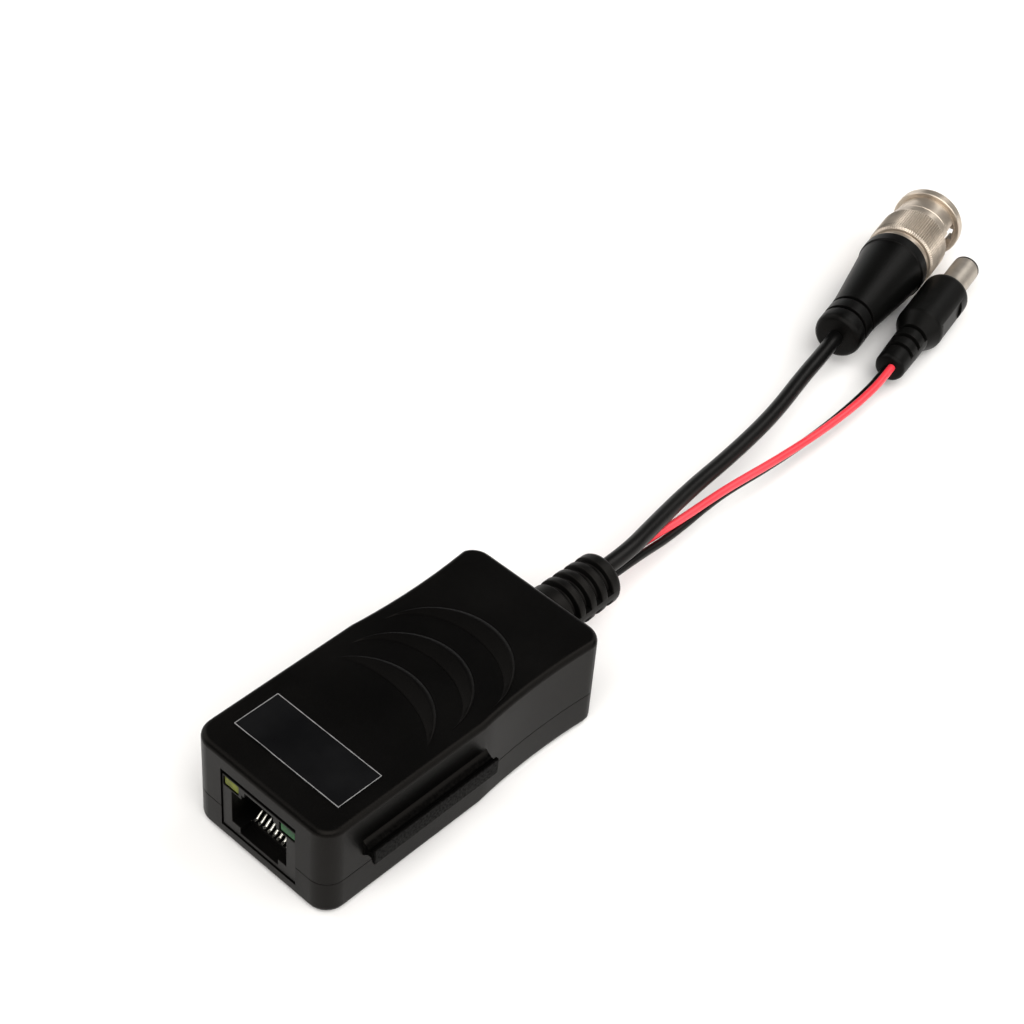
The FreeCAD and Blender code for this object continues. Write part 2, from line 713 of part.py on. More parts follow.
def bayonet_boot():
    first = "boot_groove_first"
    second = "( boot_groove_first + boot_groove_pitch )"
    tail = "boot_tail_radius"
    low = f"{tail} - boot_groove_depth"
    flare = "( boot_length - boot_rim_length )"
    wide = "boot_groove_width"
    points = [("0", "0"), (f"{tail} - 1.4", "0"), (tail, "1.4"), (tail, first), (low, first),
              (low, f"{first} + {wide}"), (tail, f"{first} + {wide}"), (tail, second), (low, second),
              (low, f"{second} + {wide}"), (tail, f"{second} + {wide}"),
              (f"{tail} + 0.1", "boot_tail_length"),
              ("boot_front_radius - 0.25", f"{flare} - 0.2"), ("boot_front_radius", flare),
              ("boot_front_radius", "boot_length"), ("boot_socket_radius", "boot_length"),
              ("boot_socket_radius", SOCKET_START), ("0", SOCKET_START)]
    body = turned("bnc_boot", points)
    round_edges(body, "0.9", is_ring_at(0.0, value(f"{tail} - 1.4")))
    round_edges(body, "0.6", is_ring_at(value("boot_length"), value("boot_front_radius")))
    return at_plug(body, "bayonet")


def bayonet_body():
    """Shank, collar, journal and the slit outer contact."""
    points = [("crimp_bore_radius", SOCKET_START), ("boot_socket_radius", SOCKET_START),
              ("boot_socket_radius", "boot_length"), ("collar_radius", "boot_length"),
              ("collar_radius", COLLAR_END), ("journal_radius", COLLAR_END), ("journal_radius", RING_START),
              ("ring_seat_radius", RING_START), ("ring_seat_radius", SHOULDER), ("sleeve_radius", SHOULDER),
              ("sleeve_radius", SLEEVE_END), ("sleeve_bore_radius", SLEEVE_END),
              ("sleeve_bore_radius", RING_START), ("crimp_bore_radius", RING_START)]
    body = turned("bnc_body_turned", points)
    start = value(f"{SHOULDER} + slit_setback")
    wide = value("slit_width")
    across = value("sleeve_radius + 2")
    slits = []
    for index in range(2):
        slit = primitive("Box", f"sleeve_slit{index}", Length=2 * across, Width="nut_length",
                         Height="slit_width")
        slit.Placement = Placement(Vector(), Rotation(Vector(0, 1, 0), 45 + 90 * index)).multiply(
            Placement(Vector(-across, start, -wide / 2), Rotation()))
        slits.append(slit)
    return at_plug(cut("bnc_body", body, *slits), "bayonet")


# How far round the coupling nut a track runs from its window, in degrees
TRACK_SWEEP = 90


def bayonet_nut():
    """A knurled band, and on each side a window, a track and a mouth for the other plug's stud."""
    bore = "journal_radius + running_gap"
    band = "nut_band_radius"
    points = [(bore, NUT_START), (f"{band} - nut_chamfer", NUT_START),
              (band, f"{NUT_START} + nut_chamfer_length"), (band, f"{BAND_END} - band_front_length"),
              (f"{band} - band_front_drop", BAND_END), ("nut_neck_radius", BAND_END),
              ("nut_neck_radius", FLANGE_START), ("nut_flange_radius", FLANGE_START),
              ("nut_flange_radius", NUT_END), ("nut_bore_radius", NUT_END), ("nut_bore_radius", CAVITY_END),
              ("nut_cavity_radius", CAVITY_END), ("nut_cavity_radius", LIP_END), (bore, LIP_END)]
    body = turned("bnc_nut_turned", points)
    round_edges(body, "0.4", is_ring_at(value(NUT_END), value("nut_flange_radius")))
    slot_start = value(f"{BAND_END} + window_margin")
    depth = value("nut_bore_radius - slot_inset")
    cutters = []
    for side in range(2):
        lean = Placement(Vector(), Rotation(Vector(0, 1, 0), 180 * side))
        window = primitive("Box", f"nut_window{side}", Length="nut_flange_radius",
                           Width=f"{FLANGE_START} - {BAND_END} - window_margin * 2",
                           Height="window_width")
        window.Placement = lean.multiply(
            Placement(Vector(depth, slot_start, -value("window_width") / 2), Rotation()))
        track = primitive("Cylinder", f"nut_track{side}", Radius="nut_neck_radius - slot_roof",
                          Height="track_width")
        track.Angle = TRACK_SWEEP
        track.Placement = lean.multiply(Placement(Vector(0, slot_start, 0), Rotation(*ALONG_Y))).multiply(
            Placement(Vector(), Rotation(Vector(0, 0, 1), -TRACK_SWEEP)))
        mouth = primitive("Box", f"nut_mouth{side}", Length=f"nut_neck_radius - slot_roof - {depth}",
                          Width=4, Height="mouth_width")
        mouth.Placement = lean.multiply(
            Placement(Vector(depth, value(FLANGE_START) - 0.5, -value("mouth_width") / 2), Rotation()))
        cutters += [window, track, mouth]
    return at_plug(cut("bnc_nut", body, *cutters), "bayonet")


def ring(name, kind, inner, outer, start, end):
    return at_plug(turned(name, [(inner, start), (outer, start), (outer, end), (inner, end)]), kind)


def bayonet_pin():
    tail = f"{RING_START} - 3"
    points = [("0", tail), ("pin_radius", tail), ("pin_radius", f"{SLEEVE_END} - 1.4"),
              ("0.25", f"{SLEEVE_END} - 0.5"), ("0", f"{SLEEVE_END} - 0.5")]
    return at_plug(turned("bnc_pin", points), "bayonet")


# Barrel power plug, built along Y from its tail

BODY_END = "power_body_length"
BARREL_END = f"( {BODY_END} + barrel_length )"
SEAT = f"{BODY_END} - barrel_seat"
STEP = f"{BODY_END} + barrel_step"
SPRING_SEAT = f"{BODY_END} - spring_seat"
SPRING_END = f"{BARREL_END} - spring_setback"


def power_boot():
    neck = "power_neck_radius"
    points = [("0", "0"), (f"{neck} - 0.9", "0"), (f"{neck} - 0.2", "0.9"), (neck, "power_neck_length"),
              ("power_body_radius", "power_neck_length + 3.2"), ("power_body_radius", f"{BODY_END} - 1.3"),
              ("power_body_radius - 1.3", BODY_END), ("barrel_tail_radius", BODY_END),
              ("barrel_tail_radius", SEAT), ("0", SEAT)]
    body = turned("power_boot_turned", points)
    round_edges(body, "1.2", is_ring_at(value(f"{BODY_END} - 1.3"), value("power_body_radius")))
    round_edges(body, "2.0", is_ring_at(value("power_neck_length + 3.2"), value("power_body_radius")))
    cutters = []
    for index in range(3):
        along = f"neck_groove_first + {index} * neck_groove_pitch"
        outer = primitive("Cylinder", f"neck_outer{index}", turn=ALONG_Y, Radius=f"{neck} + 1",
                          Height="neck_groove_width", y=along)
        inner = primitive("Cylinder", f"neck_inner{index}", turn=ALONG_Y,
                          Radius=f"{neck} - neck_groove_depth", Height="neck_groove_width", y=along)
        web = box(f"neck_web{index}", 0, along, "0 - neck_web / 2", f"{neck} * 2 + 4", "neck_groove_width",
                  "neck_web")
        cutters.append(cut(f"neck_groove{index}", outer, inner, web))
    for side in (-1, 1):
        cutters.append(box(f"grip_flat{side + 1}", f"{side} * ( power_body_radius + 1 - grip_depth )",
                           "grip_start", "0 - grip_height / 2", 2, "grip_length", "grip_height"))
    return at_plug(cut("dc_boot", body, *cutters), "power")


def power_barrel():
    """The outer contact: a bright tube with a narrower tail held in the body."""
    points = [("barrel_tail_bore", SEAT), ("barrel_tail_radius", SEAT), ("barrel_tail_radius", BODY_END),
              ("barrel_radius", BODY_END), ("barrel_radius", f"{BARREL_END} - 0.4"),
              ("barrel_radius - 0.15", BARREL_END), ("barrel_inner_radius", BARREL_END),
              ("barrel_inner_radius", STEP), ("barrel_tail_bore", STEP)]
    return at_plug(turned("dc_barrel", points), "power")


def power_insulator():
    """The black sleeve inside the barrel, with the rim that shows at the tip."""
    rim = f"{BARREL_END} + tip_reach"
    points = [("spring_radius", SPRING_SEAT), ("barrel_tail_bore", SPRING_SEAT), ("barrel_tail_bore", STEP),
              ("barrel_inner_radius", STEP), ("barrel_inner_radius", BARREL_END), ("tip_radius", BARREL_END),
              ("tip_radius", rim), ("spring_radius", rim)]
    return at_plug(turned("dc_insulator", points), "power")


def power_contact():
    bottom = f"{BODY_END} + 0.8"
    points = [("0", SPRING_SEAT), ("spring_radius", SPRING_SEAT), ("spring_radius", SPRING_END),
              ("barrel_bore_radius", SPRING_END), ("barrel_bore_radius", bottom), ("0", bottom)]
    return at_plug(turned("dc_contact", points), "power")


def all_sub_parts():
    """Every sub-part under the name of its file."""
    gap = "fit_gap"
    return {
        "upper_cover": upper_cover(),
        "lower_cover": lower_cover(),
        "label": label(),
        "circuit_board": circuit_board(),
        "jack_housing": jack_housing(),
        "jack_contacts": jack_contacts(),
        "lamp_left": lamp("lamp_left", -1),
        "lamp_right": lamp("lamp_right", 1),
        "balun_core": balun_core(),
        "balun_winding": balun_winding(),
        "surge_tube": surge_tube(),
        "capacitor": capacitor(),
        "chip_parts": chip_parts(),
        "solder_joints": solder_joints(),
        "inner_leads": inner_leads(),
        "strain_relief": strain_relief(),
        "coax_cable": cord("coax_cable", COAX_ROUTE, value("coax_radius")),
        "red_wire": cord("red_wire", RED_ROUTE, value("wire_radius")),
        "black_wire": cord("black_wire", BLACK_ROUTE, value("wire_radius")),
        "bnc_boot": bayonet_boot(),
        "bnc_body": bayonet_body(),
        "bnc_nut": bayonet_nut(),
        "bnc_thrust_ring": ring("bnc_thrust_ring", "bayonet", "ring_seat_radius", "ring_radius", RING_START,
                                f"{RING_START} + ring_thickness"),
        "bnc_wave_washer": ring("bnc_wave_washer", "bayonet", f"journal_radius + {gap}", "ring_radius",
                                f"{LIP_END} + {gap}", f"{RING_START} - {gap}"),
        "bnc_gasket": ring("bnc_gasket", "bayonet", "sleeve_radius", "gasket_radius", SHOULDER,
                           f"{SHOULDER} + gasket_thickness"),
        "bnc_insulator": ring("bnc_insulator", "bayonet", "pin_radius", "sleeve_bore_radius", RING_START,
                              f"{RING_START} + 3.4"),
        "bnc_pin": bayonet_pin(),
        "dc_boot": power_boot(),
        "dc_barrel": power_barrel(),
        "dc_insulator": power_insulator(),
        "dc_contact": power_contact(),
    }


sub_parts = all_sub_parts()
doc.recompute()
for thing in doc.Objects:
    if "Invalid" in thing.State or "Error" in thing.State:
        raise RuntimeError(f"{thing.Name} did not build: {thing.State}")

os.makedirs("parts", exist_ok=True)
for name, thing in sub_parts.items():
    thing.Label = name
    shape = thing.Shape
    if shape.isNull() or not shape.isValid() or not shape.Solids:
        raise RuntimeError(f"{name} has no sound solid")
    shape.exportStep(f"parts/{name}.step")
    print(f"{name}: {len(shape.Solids)} solid(s), {shape.Volume:.1f} mm3")
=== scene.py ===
# %% [markdown]
# # A video balun on a pale table
#
# This lesson dresses the CAD model of a video balun: a small black case with a network jack at one end
# and two short tails at the other. The CAD model gives every place and size. Blender adds the soft edges,
# the knurl, the grain of the plastic and the shine of the nickel. Lengths are in metres, and `mm` turns
# the plain millimetre sizes of the model into metres.

# %% Load the model
import math

import bmesh
import bpy
from mathutils import Matrix, Vector


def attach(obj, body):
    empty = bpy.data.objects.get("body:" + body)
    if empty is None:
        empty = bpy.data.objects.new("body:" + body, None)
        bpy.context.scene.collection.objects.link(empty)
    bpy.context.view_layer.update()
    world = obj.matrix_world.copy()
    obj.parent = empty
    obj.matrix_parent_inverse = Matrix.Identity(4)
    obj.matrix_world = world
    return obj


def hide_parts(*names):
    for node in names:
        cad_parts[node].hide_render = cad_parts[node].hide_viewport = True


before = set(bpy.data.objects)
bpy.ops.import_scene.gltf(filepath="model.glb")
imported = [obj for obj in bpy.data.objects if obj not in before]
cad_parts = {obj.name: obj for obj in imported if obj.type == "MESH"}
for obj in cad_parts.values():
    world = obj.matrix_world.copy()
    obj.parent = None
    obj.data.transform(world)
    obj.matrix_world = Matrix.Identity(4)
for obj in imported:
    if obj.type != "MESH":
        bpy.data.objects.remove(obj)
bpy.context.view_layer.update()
mm = 0.001

# %% [markdown]
# ## The camera
#
# The picture was taken from the right of the jack's end and from above. Three directions describe the
# camera: what is right, what is up and what points back at the lens. Putting them side by side makes the
# rotation, and the place follows from how far the middle of the view is. A long lens keeps the near and
# the far end about the same size, as in the picture.

# %% Camera
VIEW_ANGLES = (40.14, 42.46, 4.97)
VIEW_RIGHT, VIEW_UP, VIEW_BACK = 17.16, 39.52, 367.89
FOCAL_PIXELS, PICTURE_PIXELS, SENSOR_WIDTH = 2338.77, 1024, 36

turn, height, roll = (math.radians(value) for value in VIEW_ANGLES)
back = Vector((math.sin(turn) * math.cos(height), -math.cos(turn) * math.cos(height), math.sin(height)))
level = Vector((math.cos(turn), math.sin(turn), 0))
upright = back.cross(level)
right = level * math.cos(roll) + upright * math.sin(roll)
up = upright * math.cos(roll) - level * math.sin(roll)
place = (right * VIEW_RIGHT + up * VIEW_UP + back * VIEW_BACK + Vector((0.45, 0, 0))) * mm

bpy.ops.object.select_all(action="DESELECT")
bpy.ops.object.camera_add(location=place)
camera = bpy.context.active_object
camera.name = "camera"
camera.rotation_euler = Matrix((right, up, back)).transposed().to_euler()
camera.data.sensor_width = SENSOR_WIDTH
camera.data.lens = FOCAL_PIXELS * SENSOR_WIDTH / PICTURE_PIXELS
camera.data.clip_start = 0.01
bpy.context.scene.camera = camera
print("camera at", [round(v, 3) for v in place], "lens", round(camera.data.lens, 1))

# %% [markdown]
# ## Table, sky and lamps
#
# A black object needs something bright to mirror, or its form disappears. Here the pale table does most
# of that work: it shows in the lower sides of the case. The sky stays dim, so that the lid keeps its
# depth, and the camera alone sees it as white. Large square lamps give soft edges to every highlight, and
# a low strip behind the object draws the crests on the lid.

# %% Helpers for nodes
def node(tree, kind, links=(), **values):
    """Add a shader node, set its sockets by name and join it to what feeds it."""
    made = tree.nodes.new("ShaderNode" + kind)
    for name, value in values.items():
        if name in made.bl_rna.properties:
            setattr(made, name, value)
        else:
            made.inputs[name.replace("_", " ")].default_value = value
    for socket, source in dict(links).items():
        tree.links.new(made.inputs[socket], source)
    return made


def blank_material(name):
    """A material with only its output, and its node tree."""
    material = bpy.data.materials.new(name)
    material.use_nodes = True
    material.node_tree.nodes.clear()
    return material, material.node_tree


def noise(tree, where, scale, detail):
    """Cloudy noise, with the scale in cells per metre."""
    return node(tree, "TexNoise", [("Vector", where)], Scale=scale, Detail=detail).outputs["Fac"]


def ramp(tree, feed, stops):
    """A colour ramp: two pairs of position and colour."""
    tint = node(tree, "ValToRGB", [("Fac", feed)])
    for point, (position, colour) in zip(tint.color_ramp.elements, stops):
        point.position = position
        point.color = (*colour, 1)
    return tint.outputs["Color"]


# %% Table
def add_table():
    bpy.ops.object.select_all(action="DESELECT")
    bpy.ops.mesh.primitive_plane_add(size=6, location=(0, 0, 0))
    table = bpy.context.active_object
    table.name = "table"
    material, tree = blank_material("pale_table")
    where = node(tree, "TexCoord").outputs["Object"]
    colour = ramp(tree, noise(tree, where, 40.0, 3.0), [(0, (0.93, 0.91, 0.885)), (1, (0.97, 0.95, 0.925))])
    shader = node(tree, "BsdfPrincipled", [("Base Color", colour)], Roughness=0.8, Specular_IOR_Level=0.1)
    node(tree, "OutputMaterial", [("Surface", shader.outputs["BSDF"])])
    table.data.materials.append(material)
    return table


table = add_table()
print("table", table.dimensions[:])

# %% Sky
SKY_LIGHT = 0.05
world = bpy.data.worlds.new("studio_sky")
bpy.context.scene.world = world
world.use_nodes = True
sky = world.node_tree
sky.nodes.clear()
rays = node(sky, "LightPath")
dim = node(sky, "Background", Color=(1.0, 0.99, 0.97, 1), Strength=SKY_LIGHT)
white = node(sky, "Background", Color=(1, 1, 1, 1), Strength=1.0)
seen = node(sky, "MixShader", [("Fac", rays.outputs["Is Camera Ray"])])
sky.links.new(seen.inputs[1], dim.outputs["Background"])
sky.links.new(seen.inputs[2], white.outputs["Background"])
node(sky, "OutputWorld", [("Surface", seen.outputs["Shader"])])
print("sky light", SKY_LIGHT)

# %% Lamps
def add_lamp(name, place, size, power, tall=None, aim=(0, 0.07, 0)):
    """A soft lamp that looks at the object: square, or a strip where its height is given."""
    bpy.ops.object.select_all(action="DESELECT")
    bpy.ops.object.light_add(type="AREA", location=place)
    lamp = bpy.context.active_object
    lamp.name = name
    lamp.data.shape = "RECTANGLE"
    lamp.data.size = size
    lamp.data.size_y = tall or size
    lamp.data.energy = power
    lamp.rotation_euler = (Vector(aim) - Vector(place)).to_track_quat("-Z", "Y").to_euler()
    return lamp


add_lamp("key_lamp", (0.75, -0.75, 1.35), 2.0, 38.0)
add_lamp("left_lamp", (-1.4, -0.3, 1.0), 1.6, 15.0)
add_lamp("right_lamp", (1.5, 0.5, 0.9), 1.4, 12.0)
add_lamp("back_lamp", (0.3, 0.95, 1.15), 0.9, 8.0)
add_lamp("low_strip", (-0.9, 2.0, 0.36), 3.4, 8.0, tall=0.55)
bpy.context.scene.view_settings.view_transform = "Standard"

# %% [markdown]
# ## Finishes
#
# A finish is never one flat colour. Moulded plastic has a fine grain pressed in by the tool and gloss that
# wanders a little. Turned nickel has rings round its axis. Each helper below builds one such family from
# noise on Object coordinates, so the pattern keeps its size on every piece.

# %% Plastic and rubber
def plastic(name, deep, pale, rough, grain=5200.0, relief=0.25, sheen=0.5, warm=1.0, painted_dull_past=None):
    """Moulded plastic: two close tones in clouds, a fine pressed grain and uneven gloss.

    Beyond the X given as painted_dull_past its sheen falls nearly to nothing, in patches: painted shade, so
    that part stays dark.
    """
    material, tree = blank_material(name)
    where = node(tree, "TexCoord").outputs["Object"]
    clouds = noise(tree, where, 70.0, 5.0)
    grains = noise(tree, where, grain, 2.0)
    colour = ramp(tree, clouds, [(0.3, deep), (0.72, pale)])
    gloss = node(tree, "MapRange", [("Value", clouds)], To_Min=rough - 0.07, To_Max=rough + 0.07)
    bump = node(tree, "Bump", [("Height", grains)], Strength=relief, Distance=0.00008)
    shader = node(tree, "BsdfPrincipled", [("Base Color", colour), ("Roughness", gloss.outputs["Result"]),
                                           ("Normal", bump.outputs["Normal"])],
                  Specular_IOR_Level=sheen, Specular_Tint=(1, 0.5 + warm / 2, warm, 1))
    # Painted shade: past the given X the sheen is dulled, so the surface there stays dark as if shaded.
    if painted_dull_past:
        axes = node(tree, "SeparateXYZ", [("Vector", where)])
        shade_patches = noise(tree, where, 2600.0, 4.0)
        level = node(tree, "MapRange", [("Value", shade_patches)], From_Min=0.35, From_Max=0.7, To_Min=0.005,
                     To_Max=0.04)
        shade_dull = node(tree, "MapRange", [("Value", axes.outputs["X"]), ("To Max", level.outputs["Result"])],
                    From_Min=painted_dull_past * mm, From_Max=(painted_dull_past + 0.3) * mm, To_Min=sheen)
        tree.links.new(shader.inputs["Specular IOR Level"], shade_dull.outputs["Result"])
    node(tree, "OutputMaterial", [("Surface", shader.outputs["BSDF"])])
    return material


# Past X 15 mm, on the rail, the sheen is dulled: painted shade, where the rail lies in shade.
case_plastic = plastic("case_plastic", (0.0009, 0.0009, 0.0009), (0.0019, 0.0018, 0.0017), 0.36,
                       sheen=0.09, warm=0.8, painted_dull_past=15.0)
jack_plastic = plastic("jack_plastic", (0.0012, 0.0011, 0.001), (0.003, 0.0028, 0.0026), 0.36,
                       grain=3500.0, relief=0.12, sheen=0.13, warm=0.84)
boot_plastic = plastic("boot_plastic", (0.001, 0.001, 0.0009), (0.0024, 0.0024, 0.0021), 0.4,
                       grain=3000.0, relief=0.2, sheen=0.09, warm=0.92)
relief_rubber = plastic("relief_rubber", (0.0014, 0.0014, 0.0013), (0.0032, 0.0031, 0.0028), 0.46,
                        grain=2600.0, sheen=0.12, warm=0.84)
black_jacket = plastic("black_jacket", (0.0014, 0.0014, 0.0014), (0.003, 0.003, 0.0028), 0.36,
                       grain=1500.0, relief=0.12, sheen=0.17, warm=0.9)
red_jacket = plastic("red_jacket", (0.8, 0.03, 0.045), (0.92, 0.06, 0.08), 0.34,
                     grain=1500.0, relief=0.1, sheen=0.4)
white_insulator = plastic("white_insulator", (0.72, 0.72, 0.7), (0.85, 0.85, 0.83), 0.5, relief=0.1)
black_insulator = plastic("black_insulator", (0.008, 0.008, 0.008), (0.014, 0.014, 0.014), 0.35, relief=0.1)
gasket_rubber = plastic("gasket_rubber", (0.3, 0.05, 0.03), (0.4, 0.08, 0.05), 0.6, relief=0.2)
ferrite = plastic("ferrite", (0.018, 0.018, 0.019), (0.04, 0.04, 0.042), 0.7, grain=2500.0, relief=0.6)
tube_ceramic = plastic("tube_ceramic", (0.66, 0.63, 0.58), (0.78, 0.76, 0.72), 0.3, relief=0.1)
chip_body = plastic("chip_body", (0.03, 0.024, 0.02), (0.06, 0.05, 0.042), 0.5, relief=0.3)
print("plastics", len(bpy.data.materials))

# %% Metals
RINGS = 5000.0
BAYONET_LEAN, POWER_LEAN = 13.5, 13.0


def metal(name, dark, light, rough, turn=0.0, satin=0.0, painted_dark_past=None):
    """Metal turned on a lathe: fine rings round the piece's own axis, and faint stains.

    Turn is how far that axis leans from Y, in degrees, and satin the share of its light that it scatters.
    Beyond the Y given as painted_dark_past its colour is painted dark: painted shade, for the part that
    lies in shadow.
    """
    material, tree = blank_material(name)
    where = node(tree, "TexCoord").outputs["Object"]
    along = node(tree, "Mapping", [("Vector", where)], vector_type="TEXTURE")
    along.inputs["Rotation"].default_value = (0, 0, math.radians(turn))
    along.inputs["Scale"].default_value = (1 / 60, 1 / RINGS, 1 / 60)
    lines = noise(tree, along.outputs["Vector"], 1.0, 3.0)
    stains = noise(tree, where, 260.0, 5.0)
    colour = ramp(tree, stains, [(0.32, dark), (0.6, light)])
    gloss = node(tree, "MapRange", [("Value", lines)], To_Min=rough - 0.1, To_Max=rough + 0.1)
    bump = node(tree, "Bump", [("Height", lines)], Strength=0.18, Distance=0.00004)
    # Painted shade: past the given Y the colour is scaled almost to black.
    if painted_dark_past:
        axes = node(tree, "SeparateXYZ", [("Vector", where)])
        painted_shade_fade = node(tree, "MapRange", [("Value", axes.outputs["Y"])], From_Min=(painted_dark_past - 0.3) * mm,
                    From_Max=(painted_dark_past + 0.3) * mm, To_Min=1.0, To_Max=0.03)
        colour = node(tree, "VectorMath", [(0, colour)], operation="SCALE")
        tree.links.new(colour.inputs["Scale"], painted_shade_fade.outputs["Result"])
        colour = colour.outputs["Vector"]
    shader = node(tree, "BsdfPrincipled", [("Base Color", colour), ("Roughness", gloss.outputs["Result"]),
                                           ("Normal", bump.outputs["Normal"])], Metallic=1.0 - satin)
    node(tree, "OutputMaterial", [("Surface", shader.outputs["BSDF"])])
    return material


nickel = metal("nickel", (0.44, 0.375, 0.305), (0.6, 0.515, 0.42), 0.31, turn=BAYONET_LEAN, satin=0.24)
barrel_nickel = metal("barrel_nickel", (0.33, 0.29, 0.245), (0.45, 0.4, 0.34), 0.4, turn=POWER_LEAN,
                      satin=0.25)
gold_contact = metal("gold_contact", (0.86, 0.79, 0.62), (0.96, 0.92, 0.8), 0.3)
jack_springs = metal("jack_springs", (0.88, 0.84, 0.74), (0.97, 0.95, 0.88), 0.3, painted_dark_past=-26.2)
# The springs are painted dark past Y -26.2: painted shade, where the jack's roof shadows them.
copper_wire = metal("copper_wire", (0.42, 0.14, 0.06), (0.6, 0.24, 0.12), 0.3)
solder = metal("solder", (0.52, 0.52, 0.53), (0.66, 0.66, 0.67), 0.35)
can_aluminium = metal("can_aluminium", (0.58, 0.58, 0.6), (0.7, 0.7, 0.72), 0.35)
spring_steel = metal("spring_steel", (0.42, 0.42, 0.43), (0.55, 0.55, 0.56), 0.3, turn=BAYONET_LEAN)
print("materials", len(bpy.data.materials))

# %% [markdown]
# ## The board inside
#
# No one sees the board in a closed case, but a part that is opened or cut should show it as it is. The
# board is glass cloth under green lacquer, so its finish has a faint weave.

# %% Board lacquer
def board_lacquer():
    material, tree = blank_material("board_lacquer")
    where = node(tree, "TexCoord").outputs["Object"]
    weave = node(tree, "TexChecker", [("Vector", where)], Scale=2600.0).outputs["Fac"]
    clouds = noise(tree, where, 180.0, 4.0)
    colour = ramp(tree, clouds, [(0.35, (0.006, 0.06, 0.022)), (0.7, (0.012, 0.1, 0.036))])
    bump = node(tree, "Bump", [("Height", weave)], Strength=0.12, Distance=0.00003)
    shader = node(tree, "BsdfPrincipled", [("Base Color", colour), ("Normal", bump.outputs["Normal"])],
                  Roughness=0.3)
    node(tree, "OutputMaterial", [("Surface", shader.outputs["BSDF"])])
    return material


carried_over = {
    "circuit_board": board_lacquer(),
    "jack_contacts": jack_springs,
    "balun_core": ferrite,
    "balun_winding": copper_wire,
    "surge_tube": tube_ceramic,
    "capacitor": can_aluminium,
    "chip_parts": chip_body,
    "solder_joints": solder,
    "inner_leads": black_jacket,
    "bnc_body": nickel,
    "bnc_thrust_ring": nickel,
    "bnc_wave_washer": spring_steel,
    "bnc_gasket": gasket_rubber,
    "bnc_insulator": white_insulator,
    "bnc_pin": gold_contact,
    "dc_barrel": barrel_nickel,
    "dc_contact": gold_contact,
}
for name, material in carried_over.items():
    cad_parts[name].data.materials.clear()
    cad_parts[name].data.materials.append(material)
print("carried over:", len(carried_over))

# %% [markdown]
# ## The three cords
#
# A thin coaxial cable carries the picture, and a red and a black wire carry the power. A cord is one
# smooth line with a round section, so it is a NURBS curve with the same points as the model's route. The
# order and the end setting are given after the points, because a new spline has none to apply them to.

# %% Cords
COAX_RADIUS, WIRE_RADIUS = 1.5, 0.75
COAX_ROUTE = ((-0.4, 46.2, 11.1), (-0.4, 53.0, 11.1), (-2.3, 61.5, 10.1), (-4.9, 74.5, 8.7),
              (-6.7, 89.0, 7.5), (-9.0, 103.5, 6.8), (-12.2, 116.5, 6.9), (-13.65, 124.0, 7.1),
              (-15.12, 130.13, 7.1))
RED_ROUTE = ((-1.75, 46.2, 9.2), (-1.75, 52.0, 9.2), (-2.4, 58.5, 7.6), (-2.1, 64.0, 7.55),
             (-1.9, 70.0, 7.3), (-2.05, 76.0, 6.9), (-2.05, 83.0, 6.5), (-1.6, 95.0, 5.5),
             (-1.35, 107.5, 4.9), (-1.5, 118.0, 4.9), (-2.0, 125.3, 5.3), (-2.889, 130.0, 5.25),
             (-3.564, 132.924, 5.25))
BLACK_ROUTE = ((0.15, 46.2, 8.8), (0.15, 52.0, 8.8), (-0.6, 58.5, 7.4), (-1.0, 64.0, 6.35),
               (-1.55, 70.0, 5.75), (-2.2, 76.0, 5.4), (-2.6, 83.0, 5.0), (-2.2, 95.0, 4.1),
               (-2.25, 107.5, 3.65), (-2.65, 118.0, 3.75), (-3.2, 125.1, 4.1), (-3.961, 129.753, 4.15),
               (-4.636, 132.676, 4.15))


def add_cord(name, route, radius, material):
    """A smooth cord through the space of the model's tube."""
    curve = bpy.data.curves.new(name, "CURVE")
    curve.dimensions = "3D"
    spline = curve.splines.new("NURBS")
    spline.points.add(len(route) - 1)
    for point, place in zip(spline.points, route):
        point.co = (*(Vector(place) * mm), 1)
    spline.order_u = 3
    spline.use_endpoint_u = True
    spline.resolution_u = 10
    curve.bevel_depth = radius * mm
    curve.bevel_resolution = 7
    curve.use_fill_caps = True
    curve.materials.append(material)
    cord = bpy.data.objects.new(name + "_cord", curve)
    bpy.context.scene.collection.objects.link(cord)
    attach(cord, "main")
    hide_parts(name)
    return cord


coax = add_cord("coax_cable", COAX_ROUTE, COAX_RADIUS, black_jacket)
red = add_cord("red_wire", RED_ROUTE, WIRE_RADIUS, red_jacket)
black = add_cord("black_wire", BLACK_ROUTE, WIRE_RADIUS, black_jacket)
print("cords", [o.name for o in (coax, red, black)])

# %% [markdown]
# ## Working in edit mode from code
#
# By hand, one clicks a vertex, an edge or a face and then runs a tool on it. From code, the click is a
# test on the element's place or normal. These short helpers do the clicking.

# %% Selecting helpers
def only(*things):
    """Select these objects and no others; the last one is active."""
    bpy.ops.object.select_all(action="DESELECT")
    for thing in things:
        thing.select_set(True)
    bpy.context.view_layer.objects.active = things[-1]


def edit(thing, kind="VERT"):
    """Enter edit mode with nothing selected."""
    only(thing)
    bpy.ops.object.mode_set(mode="EDIT")
    bpy.ops.mesh.select_mode(type=kind)
    bpy.ops.mesh.select_all(action="DESELECT")


def leave():
    bpy.ops.object.mode_set(mode="OBJECT")


def is_at(length, place, spare=0.001):
    """Whether a length in metres is the one given in millimetres."""
    return abs(length / mm - place) < spare


